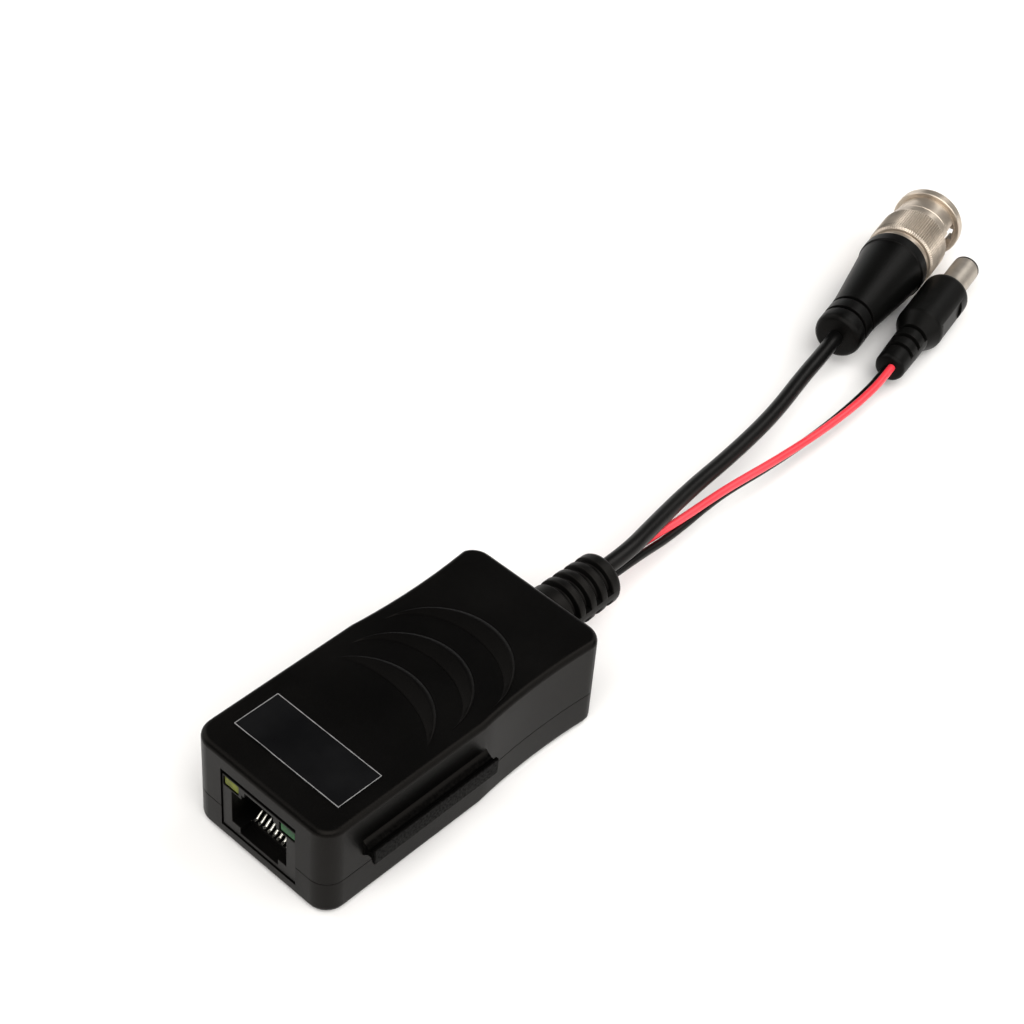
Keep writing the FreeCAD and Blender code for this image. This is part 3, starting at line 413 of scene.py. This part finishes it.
def pick(thing, kind, test):
    """Select the verts, edges or faces that pass a test, and tell how many did."""
    mesh = bmesh.from_edit_mesh(thing.data)
    mesh.normal_update()
    chosen = [item for item in getattr(mesh, kind) if test(item)]
    for item in chosen:
        item.select_set(True)
    mesh.select_flush_mode()
    bmesh.update_edit_mesh(thing.data)
    return len(chosen)


def settle(thing):
    """Apply place, turn and size, so that they are in the mesh."""
    only(thing)
    bpy.ops.object.transform_apply(location=True, rotation=True, scale=True)
    return thing


def tidy(thing):
    """Weld doubles and point every face outwards."""
    edit(thing)
    bpy.ops.mesh.select_all(action="SELECT")
    bpy.ops.mesh.remove_doubles(threshold=0.000002)
    bpy.ops.mesh.normals_make_consistent(inside=False)
    leave()
    return thing


# %% Modifier helpers
def apply(thing, kind, **settings):
    """Add a modifier, set it and apply it."""
    only(thing)
    modifier = thing.modifiers.new(kind.lower(), kind)
    for name, value in settings.items():
        setattr(modifier, name, value)
    bpy.ops.object.modifier_apply(modifier=modifier.name)
    return thing


def carve(thing, tool, how="DIFFERENCE"):
    """Cut the tool away, or join it on, and throw the tool away."""
    apply(thing, "BOOLEAN", operation=how, solver="EXACT", object=tool)
    bpy.data.objects.remove(tool)
    return thing


def soften(thing, width, segments=3, angle=35):
    """Round the sharp edges a little."""
    return apply(thing, "BEVEL", width=width * mm, segments=segments, limit_method="ANGLE",
                 angle_limit=math.radians(angle), harden_normals=False)


def smooth(thing, angle=32):
    """Smooth shading, with flat faces kept flat by weighted normals."""
    only(thing)
    bpy.ops.object.shade_smooth_by_angle(angle=math.radians(angle))
    apply(thing, "WEIGHTED_NORMAL", keep_sharp=True)
    return thing


def finish_piece(thing, material, slot, *nodes, body="main"):
    """Give the piece its finish, tie it to its body and let it stand for the model's nodes."""
    thing.data.materials.clear()
    thing.data.materials.append(material)
    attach(thing, body)
    if nodes:
        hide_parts(*nodes)
    print(thing.name, len(thing.data.vertices), "points", [round(v / mm, 2) for v in thing.dimensions])
    return thing


# %% Primitive helpers
def block(name, low, high):
    """A box between two corners, in millimetres."""
    bpy.ops.object.select_all(action="DESELECT")
    bpy.ops.mesh.primitive_cube_add(size=1, location=[(a + b) / 2 * mm for a, b in zip(low, high)],
                                    scale=[(b - a) * mm for a, b in zip(low, high)])
    thing = bpy.context.active_object
    thing.name = name
    return settle(thing)


def rod(name, radius, start, end, sides=64, x=0.0, z=0.0):
    """A cylinder along Y."""
    bpy.ops.object.select_all(action="DESELECT")
    bpy.ops.mesh.primitive_cylinder_add(vertices=sides, radius=radius * mm, depth=(end - start) * mm,
                                        location=(x * mm, (start + end) / 2 * mm, z * mm),
                                        rotation=(math.pi / 2, 0, 0))
    thing = bpy.context.active_object
    thing.name = name
    return settle(thing)


def trace(name, points):
    """A line drawn point by point, each one extruded from the one before."""
    bpy.ops.object.select_all(action="DESELECT")
    bpy.ops.mesh.primitive_plane_add(size=mm)
    thing = bpy.context.active_object
    thing.name = name
    bpy.ops.object.mode_set(mode="EDIT")
    bpy.ops.mesh.select_mode(type="VERT")
    bpy.ops.mesh.select_all(action="SELECT")
    bpy.ops.mesh.merge(type="CENTER")
    bpy.ops.transform.translate(value=Vector(points[0]) * mm)
    for before, after in zip(points, points[1:]):
        step = (Vector(after) - Vector(before)) * mm
        bpy.ops.mesh.extrude_region_move(TRANSFORM_OT_translate={"value": step})
    return thing


def lathe(name, profile, steps=96, sweep=360.0):
    """Draw a profile of radius and distance along Y, then spin it round the Y axis."""
    thing = trace(name, [(radius, along, 0) for radius, along in profile])
    bpy.ops.mesh.select_all(action="SELECT")
    bpy.ops.mesh.spin(steps=steps, angle=math.radians(sweep), center=(0, 0, 0), axis=(0, 1, 0))
    leave()
    return tidy(thing)


def bar(name, outline, start, length):
    """Close an outline of X and Z, fill it and extrude it along Y."""
    thing = trace(name, [(x, start, z) for x, z in outline])
    bpy.ops.mesh.select_all(action="SELECT")
    bpy.ops.mesh.edge_face_add()
    bpy.ops.mesh.extrude_region_move(TRANSFORM_OT_translate={"value": (0, length * mm, 0)})
    leave()
    return tidy(thing)


print("helpers ready")

# %% [markdown]
# ## The case
#
# Both covers share one outline: a block with round upright corners and a shallow waist towards the
# cable end. The block starts as a cube. Its upright edges are bevelled, cuts across it give rows of
# points, and each row that the waist reaches is pushed in. The walls come from a second, smaller block.

# %% Case outline
HALF_WIDTH, HALF_LENGTH, PARTING, LID = 14.7, 30.0, 6.8, 18.4
CORNER, WALL, PARTING_EDGE = 3.6, 1.5, 0.14
WAIST_RADIUS, WAIST_DEPTH, WAIST_MIDDLE = 120.0, 0.75, 16.0
WAIST_ROWS = (2.6, 5.0, 7.5, 10.0, 13.0, 16.0, 19.0, 21.5, 24.0)


def waist_limit(inset, y):
    """How far out the side wall stands at a place along the case."""
    middle = HALF_WIDTH - WAIST_DEPTH + WAIST_RADIUS
    arc = middle - math.sqrt((WAIST_RADIUS + inset) ** 2 - (y - WAIST_MIDDLE) ** 2)
    return min(HALF_WIDTH - inset, arc)


def case_block(name, inset, low, high):
    """The case's outline, drawn in by inset, between two heights."""
    thing = block(name, (inset - HALF_WIDTH, inset - HALF_LENGTH, low),
                  (HALF_WIDTH - inset, HALF_LENGTH - inset, high))
    edit(thing, "EDGE")
    pick(thing, "edges", lambda edge: abs((edge.verts[0].co - edge.verts[1].co).z) > mm)
    bpy.ops.mesh.bevel(offset=(CORNER - inset) * mm, segments=8)
    for y in WAIST_ROWS:
        bpy.ops.mesh.select_all(action="SELECT")
        bpy.ops.mesh.bisect(plane_co=(0, y * mm, 0), plane_no=(0, 1, 0))
    bpy.ops.mesh.select_mode(type="VERT")
    rows = sorted({round(v.co.y / mm, 4) for v in bmesh.from_edit_mesh(thing.data).verts if v.co.y > 0})
    for y in rows:
        for side in (-1, 1):
            limit = waist_limit(inset, y)

            def sticks_out(v):
                return is_at(v.co.y, y) and side * v.co.x / mm > limit + 0.0005

            far = [v.co.x for v in bmesh.from_edit_mesh(thing.data).verts if sticks_out(v)]
            if far:
                bpy.ops.mesh.select_all(action="DESELECT")
                pick(thing, "verts", sticks_out)
                bpy.ops.transform.translate(value=(side * limit * mm - far[0], 0, 0))
    leave()
    return thing


def round_rim(thing, level, radius, segments):
    """Bevel the loop where the side walls meet the flat top or bottom."""
    edit(thing, "EDGE")

    def on_rim(edge):
        flat = all(is_at(v.co.z, level) for v in edge.verts)
        return flat and any(abs(face.normal.z) < 0.5 for face in edge.link_faces)

    found = pick(thing, "edges", on_rim)
    bpy.ops.mesh.bevel(offset=radius * mm, segments=segments)
    leave()
    return found


upper = case_block("upper_shell", 0.0, PARTING, LID)
print("crown edges", round_rim(upper, LID, 1.0, 5))
print("parting edges", round_rim(upper, PARTING, PARTING_EDGE, 2))

# %% [markdown]
# ### Crescents on the lid
#
# Three crescents stand on the lid. Each rises towards a rounded outer arc and dies out at both tips. Half
# a circle gives the outer arc. It is extruded up, then step by step inwards over the crest. Each step is
# squashed along the heading, and its rows of points are lifted by how far they stand from the tips.

# %% Crescents
# How far in from the arc each ring lies, and how high it stands in the middle
CREST = ((0.0, 0.1), (0.08, 0.2), (0.25, 0.32), (0.5, 0.42), (0.8, 0.48), (1.15, 0.5), (3.6, 0.06))


def crescent(name, middle, radius, heading, reach):
    """A raised crescent: reach is how far along the heading its tips lie from the arc's centre."""
    sunk = LID - 0.3
    bpy.ops.object.select_all(action="DESELECT")
    bpy.ops.mesh.primitive_circle_add(vertices=120, radius=radius * mm, location=(0, 0, sunk * mm))
    thing = bpy.context.active_object
    thing.name = name
    settle(thing)
    edit(thing)
    pick(thing, "verts", lambda v: v.co.y / mm < reach - 0.01)
    bpy.ops.mesh.delete(type="VERT")
    tip = min(v.co.y for v in bmesh.from_edit_mesh(thing.data).verts) / mm
    rows = sorted({round(v.co.y / mm, 4) for v in bmesh.from_edit_mesh(thing.data).verts})
    bpy.ops.mesh.select_all(action="SELECT")
    bpy.ops.mesh.extrude_region_move(TRANSFORM_OT_translate={"value": (0, 0, (LID - sunk) * mm)})
    lift_rows(thing, rows, tip, CREST[0][1] / (radius - tip))
    reach_now = radius - tip
    for (_, before), (inset, height) in zip(CREST, CREST[1:]):
        bpy.ops.mesh.extrude_region_move(TRANSFORM_OT_translate={"value": (0, 0, 0)})
        lift_rows(thing, rows, tip, (height - before) / reach_now)
        squash = (radius - inset - tip) / reach_now
        bpy.ops.transform.resize(value=(1, squash, 1), center_override=(0, tip * mm, 0))
        rows = [tip + (row - tip) * squash for row in rows]
        reach_now = radius - inset - tip
    bpy.ops.mesh.extrude_region_move(TRANSFORM_OT_translate={"value": (0, 0, 0)})
    bpy.ops.transform.resize(value=(1, 1, 0), center_override=(0, 0, sunk * mm))
    bpy.ops.mesh.select_all(action="DESELECT")
    pick(thing, "edges", lambda e: e.is_boundary and all(v.co.z / mm < sunk + 0.01 for v in e.verts))
    bpy.ops.mesh.bridge_edge_loops()
    leave()
    tidy(thing)
    thing.rotation_euler.z = math.radians(heading - 90)
    thing.location = (middle[0] * mm, middle[1] * mm, 0)
    return settle(thing)


def lift_rows(thing, rows, tip, slope):
    """Lift the selected points of each row by its distance from the tips."""
    chosen = [v.index for v in bmesh.from_edit_mesh(thing.data).verts if v.select]
    for y in rows:
        if y - tip > 0.001:
            bpy.ops.mesh.select_all(action="DESELECT")
            pick(thing, "verts", lambda v: v.index in chosen and is_at(v.co.y, y))
            bpy.ops.transform.translate(value=(0, 0, (y - tip) * slope * mm))
    bpy.ops.mesh.select_all(action="DESELECT")
    pick(thing, "verts", lambda v: v.index in chosen)


CRESCENTS = (
    ((0.6, 5.9), 12.3, 88.0, 0.0),
    ((0.2, -1.6), 11.6, 87.0, 0.0),
    ((-0.2, -10.6), 12.4, 83.0, 5.0),
)
crescents = [crescent(f"crescent_{index}", *shape) for index, shape in enumerate(CRESCENTS)]
for piece in crescents:
    print(piece.name, [round(v / mm, 2) for v in piece.dimensions])

# %% [markdown]
# ### Rail, groove and windows
#
# A rail on the right side of one unit slides into a groove in the left side of the next. Its outline is
# drawn once and extruded along the case. The front window for the jack and the arch for the strain
# relief are cut from both covers, so one tool serves each pair.

# %% Rail and groove
RAIL_START, RAIL_LENGTH, RAIL_Z = -22.7, 26.0, 10.9


def rail_outline(side, reach, head, neck, depth, foot):
    """Upper half first, from the wall outwards, then the lower half back."""
    tip = HALF_WIDTH + reach
    half = [(14.3, foot / 2), (HALF_WIDTH + reach * 0.4, neck / 2), (tip - depth, neck / 2),
            (tip - depth * 0.7, head / 2), (tip, head / 2)]
    return ([(side * x, RAIL_Z + up) for x, up in half] +
            [(side * x, RAIL_Z - up) for x, up in reversed(half)])


rail = bar("rail_bar", rail_outline(1, 2.6, 3.2, 1.5, 0.9, 4.2), RAIL_START, RAIL_LENGTH)
soften(rail, 0.18, 2)
groove = bar("groove_tool", rail_outline(-1, -2.9, 3.7, 2.0, -1.4, 2.0), RAIL_START - 0.25,
             RAIL_LENGTH + 0.5)
print("rail", [round(v / mm, 2) for v in rail.dimensions])

# %% Windows
def jack_window():
    return block("jack_window", (-8.15, -60.0, 2.7), (8.15, -11.65, 15.3))


def cable_arch(spare):
    """An arch that closes on the strain relief's neck."""
    arch = rod("cable_arch", 3.5 + spare, 27.5, 87.5, z=10.3)
    legs = block("cable_legs", (-3.5 - spare, 27.5, 6.7), (3.5 + spare, 87.5, 10.3))
    return carve(arch, legs, "UNION")


# %% Upper cover
carve(upper, case_block("upper_room", WALL, 5.8, 16.9))
carve(upper, case_block("upper_rebate", 0.75, 5.8, 8.1))
groove_back = block("groove_back", (-13.4, -24.2, 8.3), (-9.2, 4.8, 15.0))
for piece in (groove_back, rail, *crescents):
    carve(upper, piece, "UNION")
for tool in (groove, jack_window(), cable_arch(0.0)):
    carve(upper, tool)
tidy(upper)
smooth(upper, 40)
finish_piece(upper, case_plastic, "case_plastic", "upper_cover")

# %% Lower cover
lower = case_block("lower_tray", 0.0, 0.0, PARTING)
round_rim(lower, 0.0, 1.4, 5)
round_rim(lower, PARTING, PARTING_EDGE, 2)
carve(lower, case_block("lower_lip", 0.85, 5.8, 7.7), "UNION")
carve(lower, case_block("lower_room", WALL, 1.4, LID))
for x in (-9.5, 9.5):
    for y in (-19, 19):
        carve(lower, block("board_rest", (x - 1.5, y - 1.5, 1.3), (x + 1.5, y + 1.5, 1.65)), "UNION")
for tool in (jack_window(), cable_arch(0.1)):
    carve(lower, tool)
tidy(lower)
smooth(lower)
finish_piece(lower, case_plastic, "case_plastic", "lower_cover")

# %% [markdown]
# ## The label
#
# A thin film label lies on the lid. On the real one it is black with a pale printed line round its rim.
# The line follows the label's own edges, so it is drawn from the distance to them, not painted by hand.
# The film has lifted a little in one place on its front edge.

# %% Label
def maths(tree, operation, first, second=None):
    """One step of arithmetic. The second value is another node's output, or a number."""
    made = node(tree, "Math", [(0, first)], operation=operation)
    if isinstance(second, float):
        made.inputs[1].default_value = second
    elif second is not None:
        tree.links.new(made.inputs[1], second)
    return made.outputs[0]


def label_film():
    material, tree = blank_material("label_film")
    where = node(tree, "TexCoord").outputs["Object"]
    axes = node(tree, "SeparateXYZ", [("Vector", where)])
    across = maths(tree, "ABSOLUTE", axes.outputs["X"])
    along = maths(tree, "ABSOLUTE", maths(tree, "ADD", axes.outputs["Y"], 0.0201))
    past_x = maths(tree, "SUBTRACT", across, 0.01118)
    past_y = maths(tree, "SUBTRACT", along, 0.00433)
    distance = maths(tree, "ABSOLUTE", maths(tree, "MAXIMUM", past_x, past_y))
    worn = noise(tree, where, 700.0, 4.0)
    width = node(tree, "MapRange", [("Value", worn)], From_Min=0.3, From_Max=0.6, To_Min=0.00004,
                 To_Max=0.00008)
    line = maths(tree, "LESS_THAN", distance, width.outputs["Result"])
    clouds = noise(tree, where, 120.0, 5.0)
    ink = ramp(tree, clouds, [(0.3, (0.002, 0.002, 0.0023)), (0.7, (0.004, 0.004, 0.0043))])
    colour = node(tree, "Mix", data_type="RGBA")
    tree.links.new(colour.inputs[0], line)
    tree.links.new(colour.inputs[6], ink)
    colour.inputs[7].default_value = (0.24, 0.235, 0.23, 1)
    gloss = node(tree, "MapRange", [("Value", clouds)], To_Min=0.22, To_Max=0.42)
    ripple = noise(tree, where, 160.0, 2.0)
    bump = node(tree, "Bump", [("Height", ripple)], Strength=0.25, Distance=0.0003)
    shader = node(tree, "BsdfPrincipled", [("Base Color", colour.outputs[2]),
                                           ("Normal", bump.outputs["Normal"]),
                                           ("Roughness", gloss.outputs["Result"])], Specular_IOR_Level=0.16)
    node(tree, "OutputMaterial", [("Surface", shader.outputs["BSDF"])])
    return material


def add_label():
    thing = block("label_sheet", (-11.3, -24.65, LID), (11.3, -15.55, LID + 0.12))
    edit(thing, "EDGE")
    pick(thing, "edges", lambda e: abs((e.verts[0].co - e.verts[1].co).z) > 0.05 * mm)
    bpy.ops.mesh.bevel(offset=0.4 * mm, segments=3)
    for y in (-24.2, -23.4, -22.0):
        bpy.ops.mesh.select_all(action="SELECT")
        bpy.ops.mesh.bisect(plane_co=(0, y * mm, 0), plane_no=(0, 1, 0))
    for x in (-9.0, -7.0, -5.0, -3.0):
        bpy.ops.mesh.select_all(action="SELECT")
        bpy.ops.mesh.bisect(plane_co=(x * mm, 0, 0), plane_no=(1, 0, 0))
    bpy.ops.mesh.select_mode(type="VERT")
    for x, y, rise in ((-7.0, -24.65, 0.28), (-5.0, -24.65, 0.34), (-7.0, -24.2, 0.16), (-5.0, -24.2, 0.2)):
        bpy.ops.mesh.select_all(action="DESELECT")
        pick(thing, "verts", lambda v: is_at(v.co.x, x, 0.01) and is_at(v.co.y, y, 0.01)
             and v.co.z / mm > LID + 0.1)
        bpy.ops.transform.translate(value=(0, 0, rise * 0.5 * mm))
    leave()
    smooth(thing, 50)
    return finish_piece(thing, label_film(), "label_film", "label")


add_label()

# %% [markdown]
# ## The network jack
#
# The jack is a moulded block with a stepped mouth: a wide part for the plug, a narrower slot above for its
# latch, and a notch below where the eight springs come up. Two small lenses sit in its top corners.

# %% Jack housing
def lens_block(name, side, face):
    """A block where a lens sits, in a top corner of the jack, from its face backwards."""
    near, far = sorted((side * 4.45, side * 7.75))
    return block(name, (near, face, 11.95), (far, -23.8, 13.85))


def jack():
    body = block("jack_block", (-8.0, -29.8, 2.85), (8.0, -11.8, 14.2))
    tools = [block("mouth", (-5.95, -31, 4.95), (5.95, -16.8, 11.65)),
             block("latch", (-3.1, -31, 11.0), (3.1, -20.8, 13.55)),
             block("latch_step", (-3.8, -31, 11.0), (3.8, -24.8, 12.6)),
             block("comb", (-4.1, -31, 3.65), (4.1, -27.6, 5.5))]
    for side in (-1, 1):
        tools.append(lens_block("lens_pocket", side, -31))
    for tool in tools:
        carve(body, tool)
    tidy(body)
    soften(body, 0.12, 2, 50)
    smooth(body)
    return finish_piece(body, jack_plastic, "jack_plastic", "jack_housing")


jack()

# %% Lenses
def lens_plastic(name, deep, pale):
    material, tree = blank_material(name)
    where = node(tree, "TexCoord").outputs["Object"]
    colour = ramp(tree, noise(tree, where, 500.0, 3.0), [(0.3, deep), (0.7, pale)])
    shader = node(tree, "BsdfPrincipled", [("Base Color", colour)], Roughness=0.3, Specular_IOR_Level=0.12,
                  Subsurface_Weight=0.3, Subsurface_Radius=(0.0008, 0.0008, 0.0004))
    node(tree, "OutputMaterial", [("Surface", shader.outputs["BSDF"])])
    return material


def lens(name, side, material, slot):
    body = lens_block(name + "_lens", side, -29.65)
    soften(body, 0.35, 4)
    smooth(body)
    return finish_piece(body, material, slot, name)


yellow = lens_plastic("yellow_lens", (0.06, 0.07, 0.003), (0.16, 0.18, 0.008))
green = lens_plastic("green_lens", (0.006, 0.045, 0.012), (0.018, 0.11, 0.03))
lens("lamp_left", -1, yellow, "yellow_lens")
lens("lamp_right", 1, green, "green_lens")

# %% [markdown]
# ## The strain relief
#
# Soft rubber is moulded round the cords. Four grooves let it bend, and a web on each side keeps them from
# going all the way round. The body is turned with its grooves, and the webs are cut from a smooth
# twin of the body, so that they follow its taper.

# %% Helpers for moulded boots
def rounded_end(across, along, radius, steps):
    """A quarter circle of a profile, from straight out to straight ahead, without its first point."""
    angles = [math.radians(step * 90 / steps) for step in range(1, steps + 1)]
    return [(across + radius * math.cos(angle), along + radius * math.sin(angle)) for angle in angles]


def add_web(body, name, profile, side, start, end, half):
    """Bridge the grooves on one side with a strip of the body's smooth twin."""
    web = lathe(name, profile, 72)
    window = block("web_window", (min(0, side * 9), start, -half), (max(0, side * 9), end, half))
    carve(web, window, "INTERSECT")
    carve(body, web, "UNION")


# %% Strain relief
def relief_radius(y):
    return 4.85 - 0.25 * (y - 32.2) / 14.0


def relief_profile(grooved):
    """Radius and distance along Y, from the wall outwards."""
    points = [(0, 30.0), (4.85, 30.0), (4.85, 32.2)]
    if grooved:
        for index in range(4):
            start = 34.45 + index * 2.7
            points += [(relief_radius(start), start), (3.55, start), (3.55, start + 1.3),
                       (relief_radius(start + 1.3), start + 1.3)]
    return points + [(relief_radius(45.2), 45.2)] + rounded_end(3.6, 45.2, 1.0, 4) + [(0, 46.2)]


relief = lathe("relief_boot", relief_profile(True), 72)
soften(relief, 0.22, 3, 50)
for side in (-1, 1):
    add_web(relief, "relief_web", relief_profile(False), side, 33.5, 44.8, 0.7)
relief.location.z = 10.3 * mm
settle(relief)
neck = cable_arch(0.0)
carve(neck, block("neck_window", (-9, 28.4, 6.81), (9, 30.1, 18)), "INTERSECT")
carve(relief, neck, "UNION")
carve(relief, block("relief_flange", (-4.8, 26.8, 5.5), (4.8, 28.4, 15.1)), "UNION")
tidy(relief)
smooth(relief, 40)
finish_piece(relief, relief_rubber, "relief_rubber", "strain_relief")

# %% [markdown]
# ## The bayonet plug
#
# The plug is made lying along Y from its tail, and then turned and moved to its place. A moulded boot
# holds it. The coupling nut has a knurled band, a neck with a ring and a groove behind it, and a flange.
# On each side of the neck a window and a curved track let the stud of the socket slide in and lock.

# %% Placing a plug
PLUG_PLACES = {"bayonet": (BAYONET_LEAN, (-15.12, 130.13, 7.1)), "power": (POWER_LEAN, (-4.1, 132.8, 4.7))}


def to_plug(thing, kind):
    """Turn and move a piece, made along Y from the plug's tail, to where its plug lies."""
    turn, place = PLUG_PLACES[kind]
    thing.rotation_euler.z = math.radians(turn)
    thing.location = Vector(place) * mm
    return settle(thing)


# %% Bayonet boot
def bayonet_boot():
    profile = [(0, 0), (3.3, 0)]
    for step in range(1, 4):
        angle = math.radians(step * 30)
        profile.append((3.3 + 1.4 * math.sin(angle), 1.4 - 1.4 * math.cos(angle)))
    for start in (3.3, 6.8):
        profile += [(4.7, start), (4.1, start), (4.1, start + 0.8), (4.7, start + 0.8)]
    profile += [(4.8, 9.8), (6.65, 26.1), (6.9, 26.3), (6.9, 28.4), (6.82, 28.7), (6.6, 28.92), (6.3, 29.0),
                (4.0, 29.0), (4.0, 22.0), (0, 22.0)]
    boot = lathe("bayonet_boot", profile)
    soften(boot, 0.16, 2, 24)
    smooth(boot)
    to_plug(boot, "bayonet")
    return finish_piece(boot, boot_plastic, "boot_plastic", "bnc_boot")


boot = bayonet_boot()

# %% Coupling nut
NUT_START, BAND_END, FLANGE_START, NUT_END = 30.7, 38.4, 44.7, 46.7
FLUTES = 92
VALLEY_SCALE = 0.974


def knurl(nut):
    """Push every other line of points on the band inwards, which leaves straight flutes."""
    edit(nut)

    def in_valley(v):
        if not (NUT_START + 0.4 < v.co.y / mm < BAND_END and v.co.xz.length / mm > 7.0):
            return False
        return round(math.atan2(v.co.z, v.co.x) / math.tau * FLUTES * 2) % 2 == 1

    found = pick(nut, "verts", in_valley)
    bpy.ops.transform.resize(value=(VALLEY_SCALE, 1, VALLEY_SCALE), center_override=(0, 0, 0))
    leave()
    return found


def coupling_nut():
    profile = [(5.06, NUT_START), (6.65, NUT_START), (7.05, 31.2), (7.05, 38.0), (6.8, BAND_END),
               (6.62, 38.6), (6.62, 40.2), (6.5, 40.4), (6.16, 40.5), (6.16, 40.8), (6.3, 40.95),
               (6.3, 44.2), (6.12, 44.35), (6.12, FLANGE_START), (6.95, FLANGE_START), (7.1, 44.85),
               (7.1, 46.3), (6.98, 46.58),
               (6.7, NUT_END), (4.9, NUT_END), (4.9, 36.4), (6.0, 36.4), (6.0, 32.3), (5.06, 32.3),
               (5.06, NUT_START)]
    nut = lathe("coupling_nut", profile, FLUTES * 2)
    for side in (0, 180):
        tools = [block("window", (3.7, 38.75, -2.8), (11.6, 44.45, 2.8)),
                 block("mouth", (3.7, 44.2, -1.25), (5.8, 48.2, 1.25)), track_tool()]
        for tool in tools:
            tool.rotation_euler.y = math.radians(side)
            settle(tool)
            carve(nut, tool)
    tidy(nut)
    apply(nut, "BEVEL", width=0.07 * mm, segments=2, limit_method="ANGLE", angle_limit=math.radians(50))
    print("valley points", knurl(nut))
    smooth(nut, 22)
    to_plug(nut, "bayonet")
    return finish_piece(nut, nickel, "nickel", "bnc_nut", body="nut")


def track_tool():
    """A sector of a ring, spun from a square through a quarter of a turn."""
    tool = trace("track", [(4.4, 38.25, 0), (5.8, 38.25, 0), (5.8, 40.55, 0), (4.4, 40.55, 0)])
    bpy.ops.mesh.select_all(action="SELECT")
    bpy.ops.mesh.edge_face_add()
    bpy.ops.mesh.spin(steps=24, angle=math.radians(90), center=(0, 0, 0), axis=(0, 1, 0))
    leave()
    tidy(tool)
    top = max(v.co.z for v in tool.data.vertices) / mm
    print("track reaches up to", round(top, 2))
    return tool


nut = coupling_nut()

# %% [markdown]
# ## The power plug
#
# A ribbed neck keeps the thin wires from breaking where they enter. The body has a flat on each side for
# the fingers, and the bright barrel ends in a thin black rim.

# %% Power plug body
def neck_radius(y):
    return 2.95 + 0.2 * (y - 0.9) / 10.5


def power_profile(grooved):
    points = [(0, 0), (2.25, 0), (2.75, 0.35), (2.95, 0.9)]
    if grooved:
        for start in (3.8, 7.0, 10.2):
            points += [(neck_radius(start), start), (2.4, start), (2.4, start + 1.1),
                       (neck_radius(start + 1.1), start + 1.1)]
    points += [(3.15, 11.4), (4.5, 14.19), (4.65, 14.62), (4.7, 15.1), (4.7, 27.3)]
    return points + rounded_end(3.4, 27.6, 1.3, 6) + [(2.62, 28.9), (2.62, 22.9), (0, 22.9)]


def power_plug():
    body = lathe("power_body", power_profile(True), 72)
    for side in (-1, 1):
        add_web(body, "neck_web", power_profile(False), side, 3.0, 11.35, 1.0)
        near, far = sorted((side * 4.2, side * 6.2))
        carve(body, block("grip_flat", (near, 15.9, -2.6), (far, 24.9, 2.6)))
    tidy(body)
    soften(body, 0.16, 2, 40)
    smooth(body, 40)
    to_plug(body, "power")
    return finish_piece(body, boot_plastic, "boot_plastic", "dc_boot")


power_body = power_plug()

# %% Black rim of the barrel
def barrel_rim():
    """The insulator between the barrel and its inner contact: a thin tube that folds over the tip."""
    profile = [(1.35, 23.9), (2.1, 23.9), (2.1, 29.4), (2.4, 29.4), (2.4, 38.42), (2.7, 38.42),
               (2.7, 38.68), (2.6, 38.78), (1.45, 38.78), (1.35, 38.68), (1.35, 23.9)]
    rim = lathe("barrel_rim", profile, 64)
    smooth(rim)
    to_plug(rim, "power")
    return finish_piece(rim, black_insulator, "black_insulator", "dc_insulator")


rim = barrel_rim()
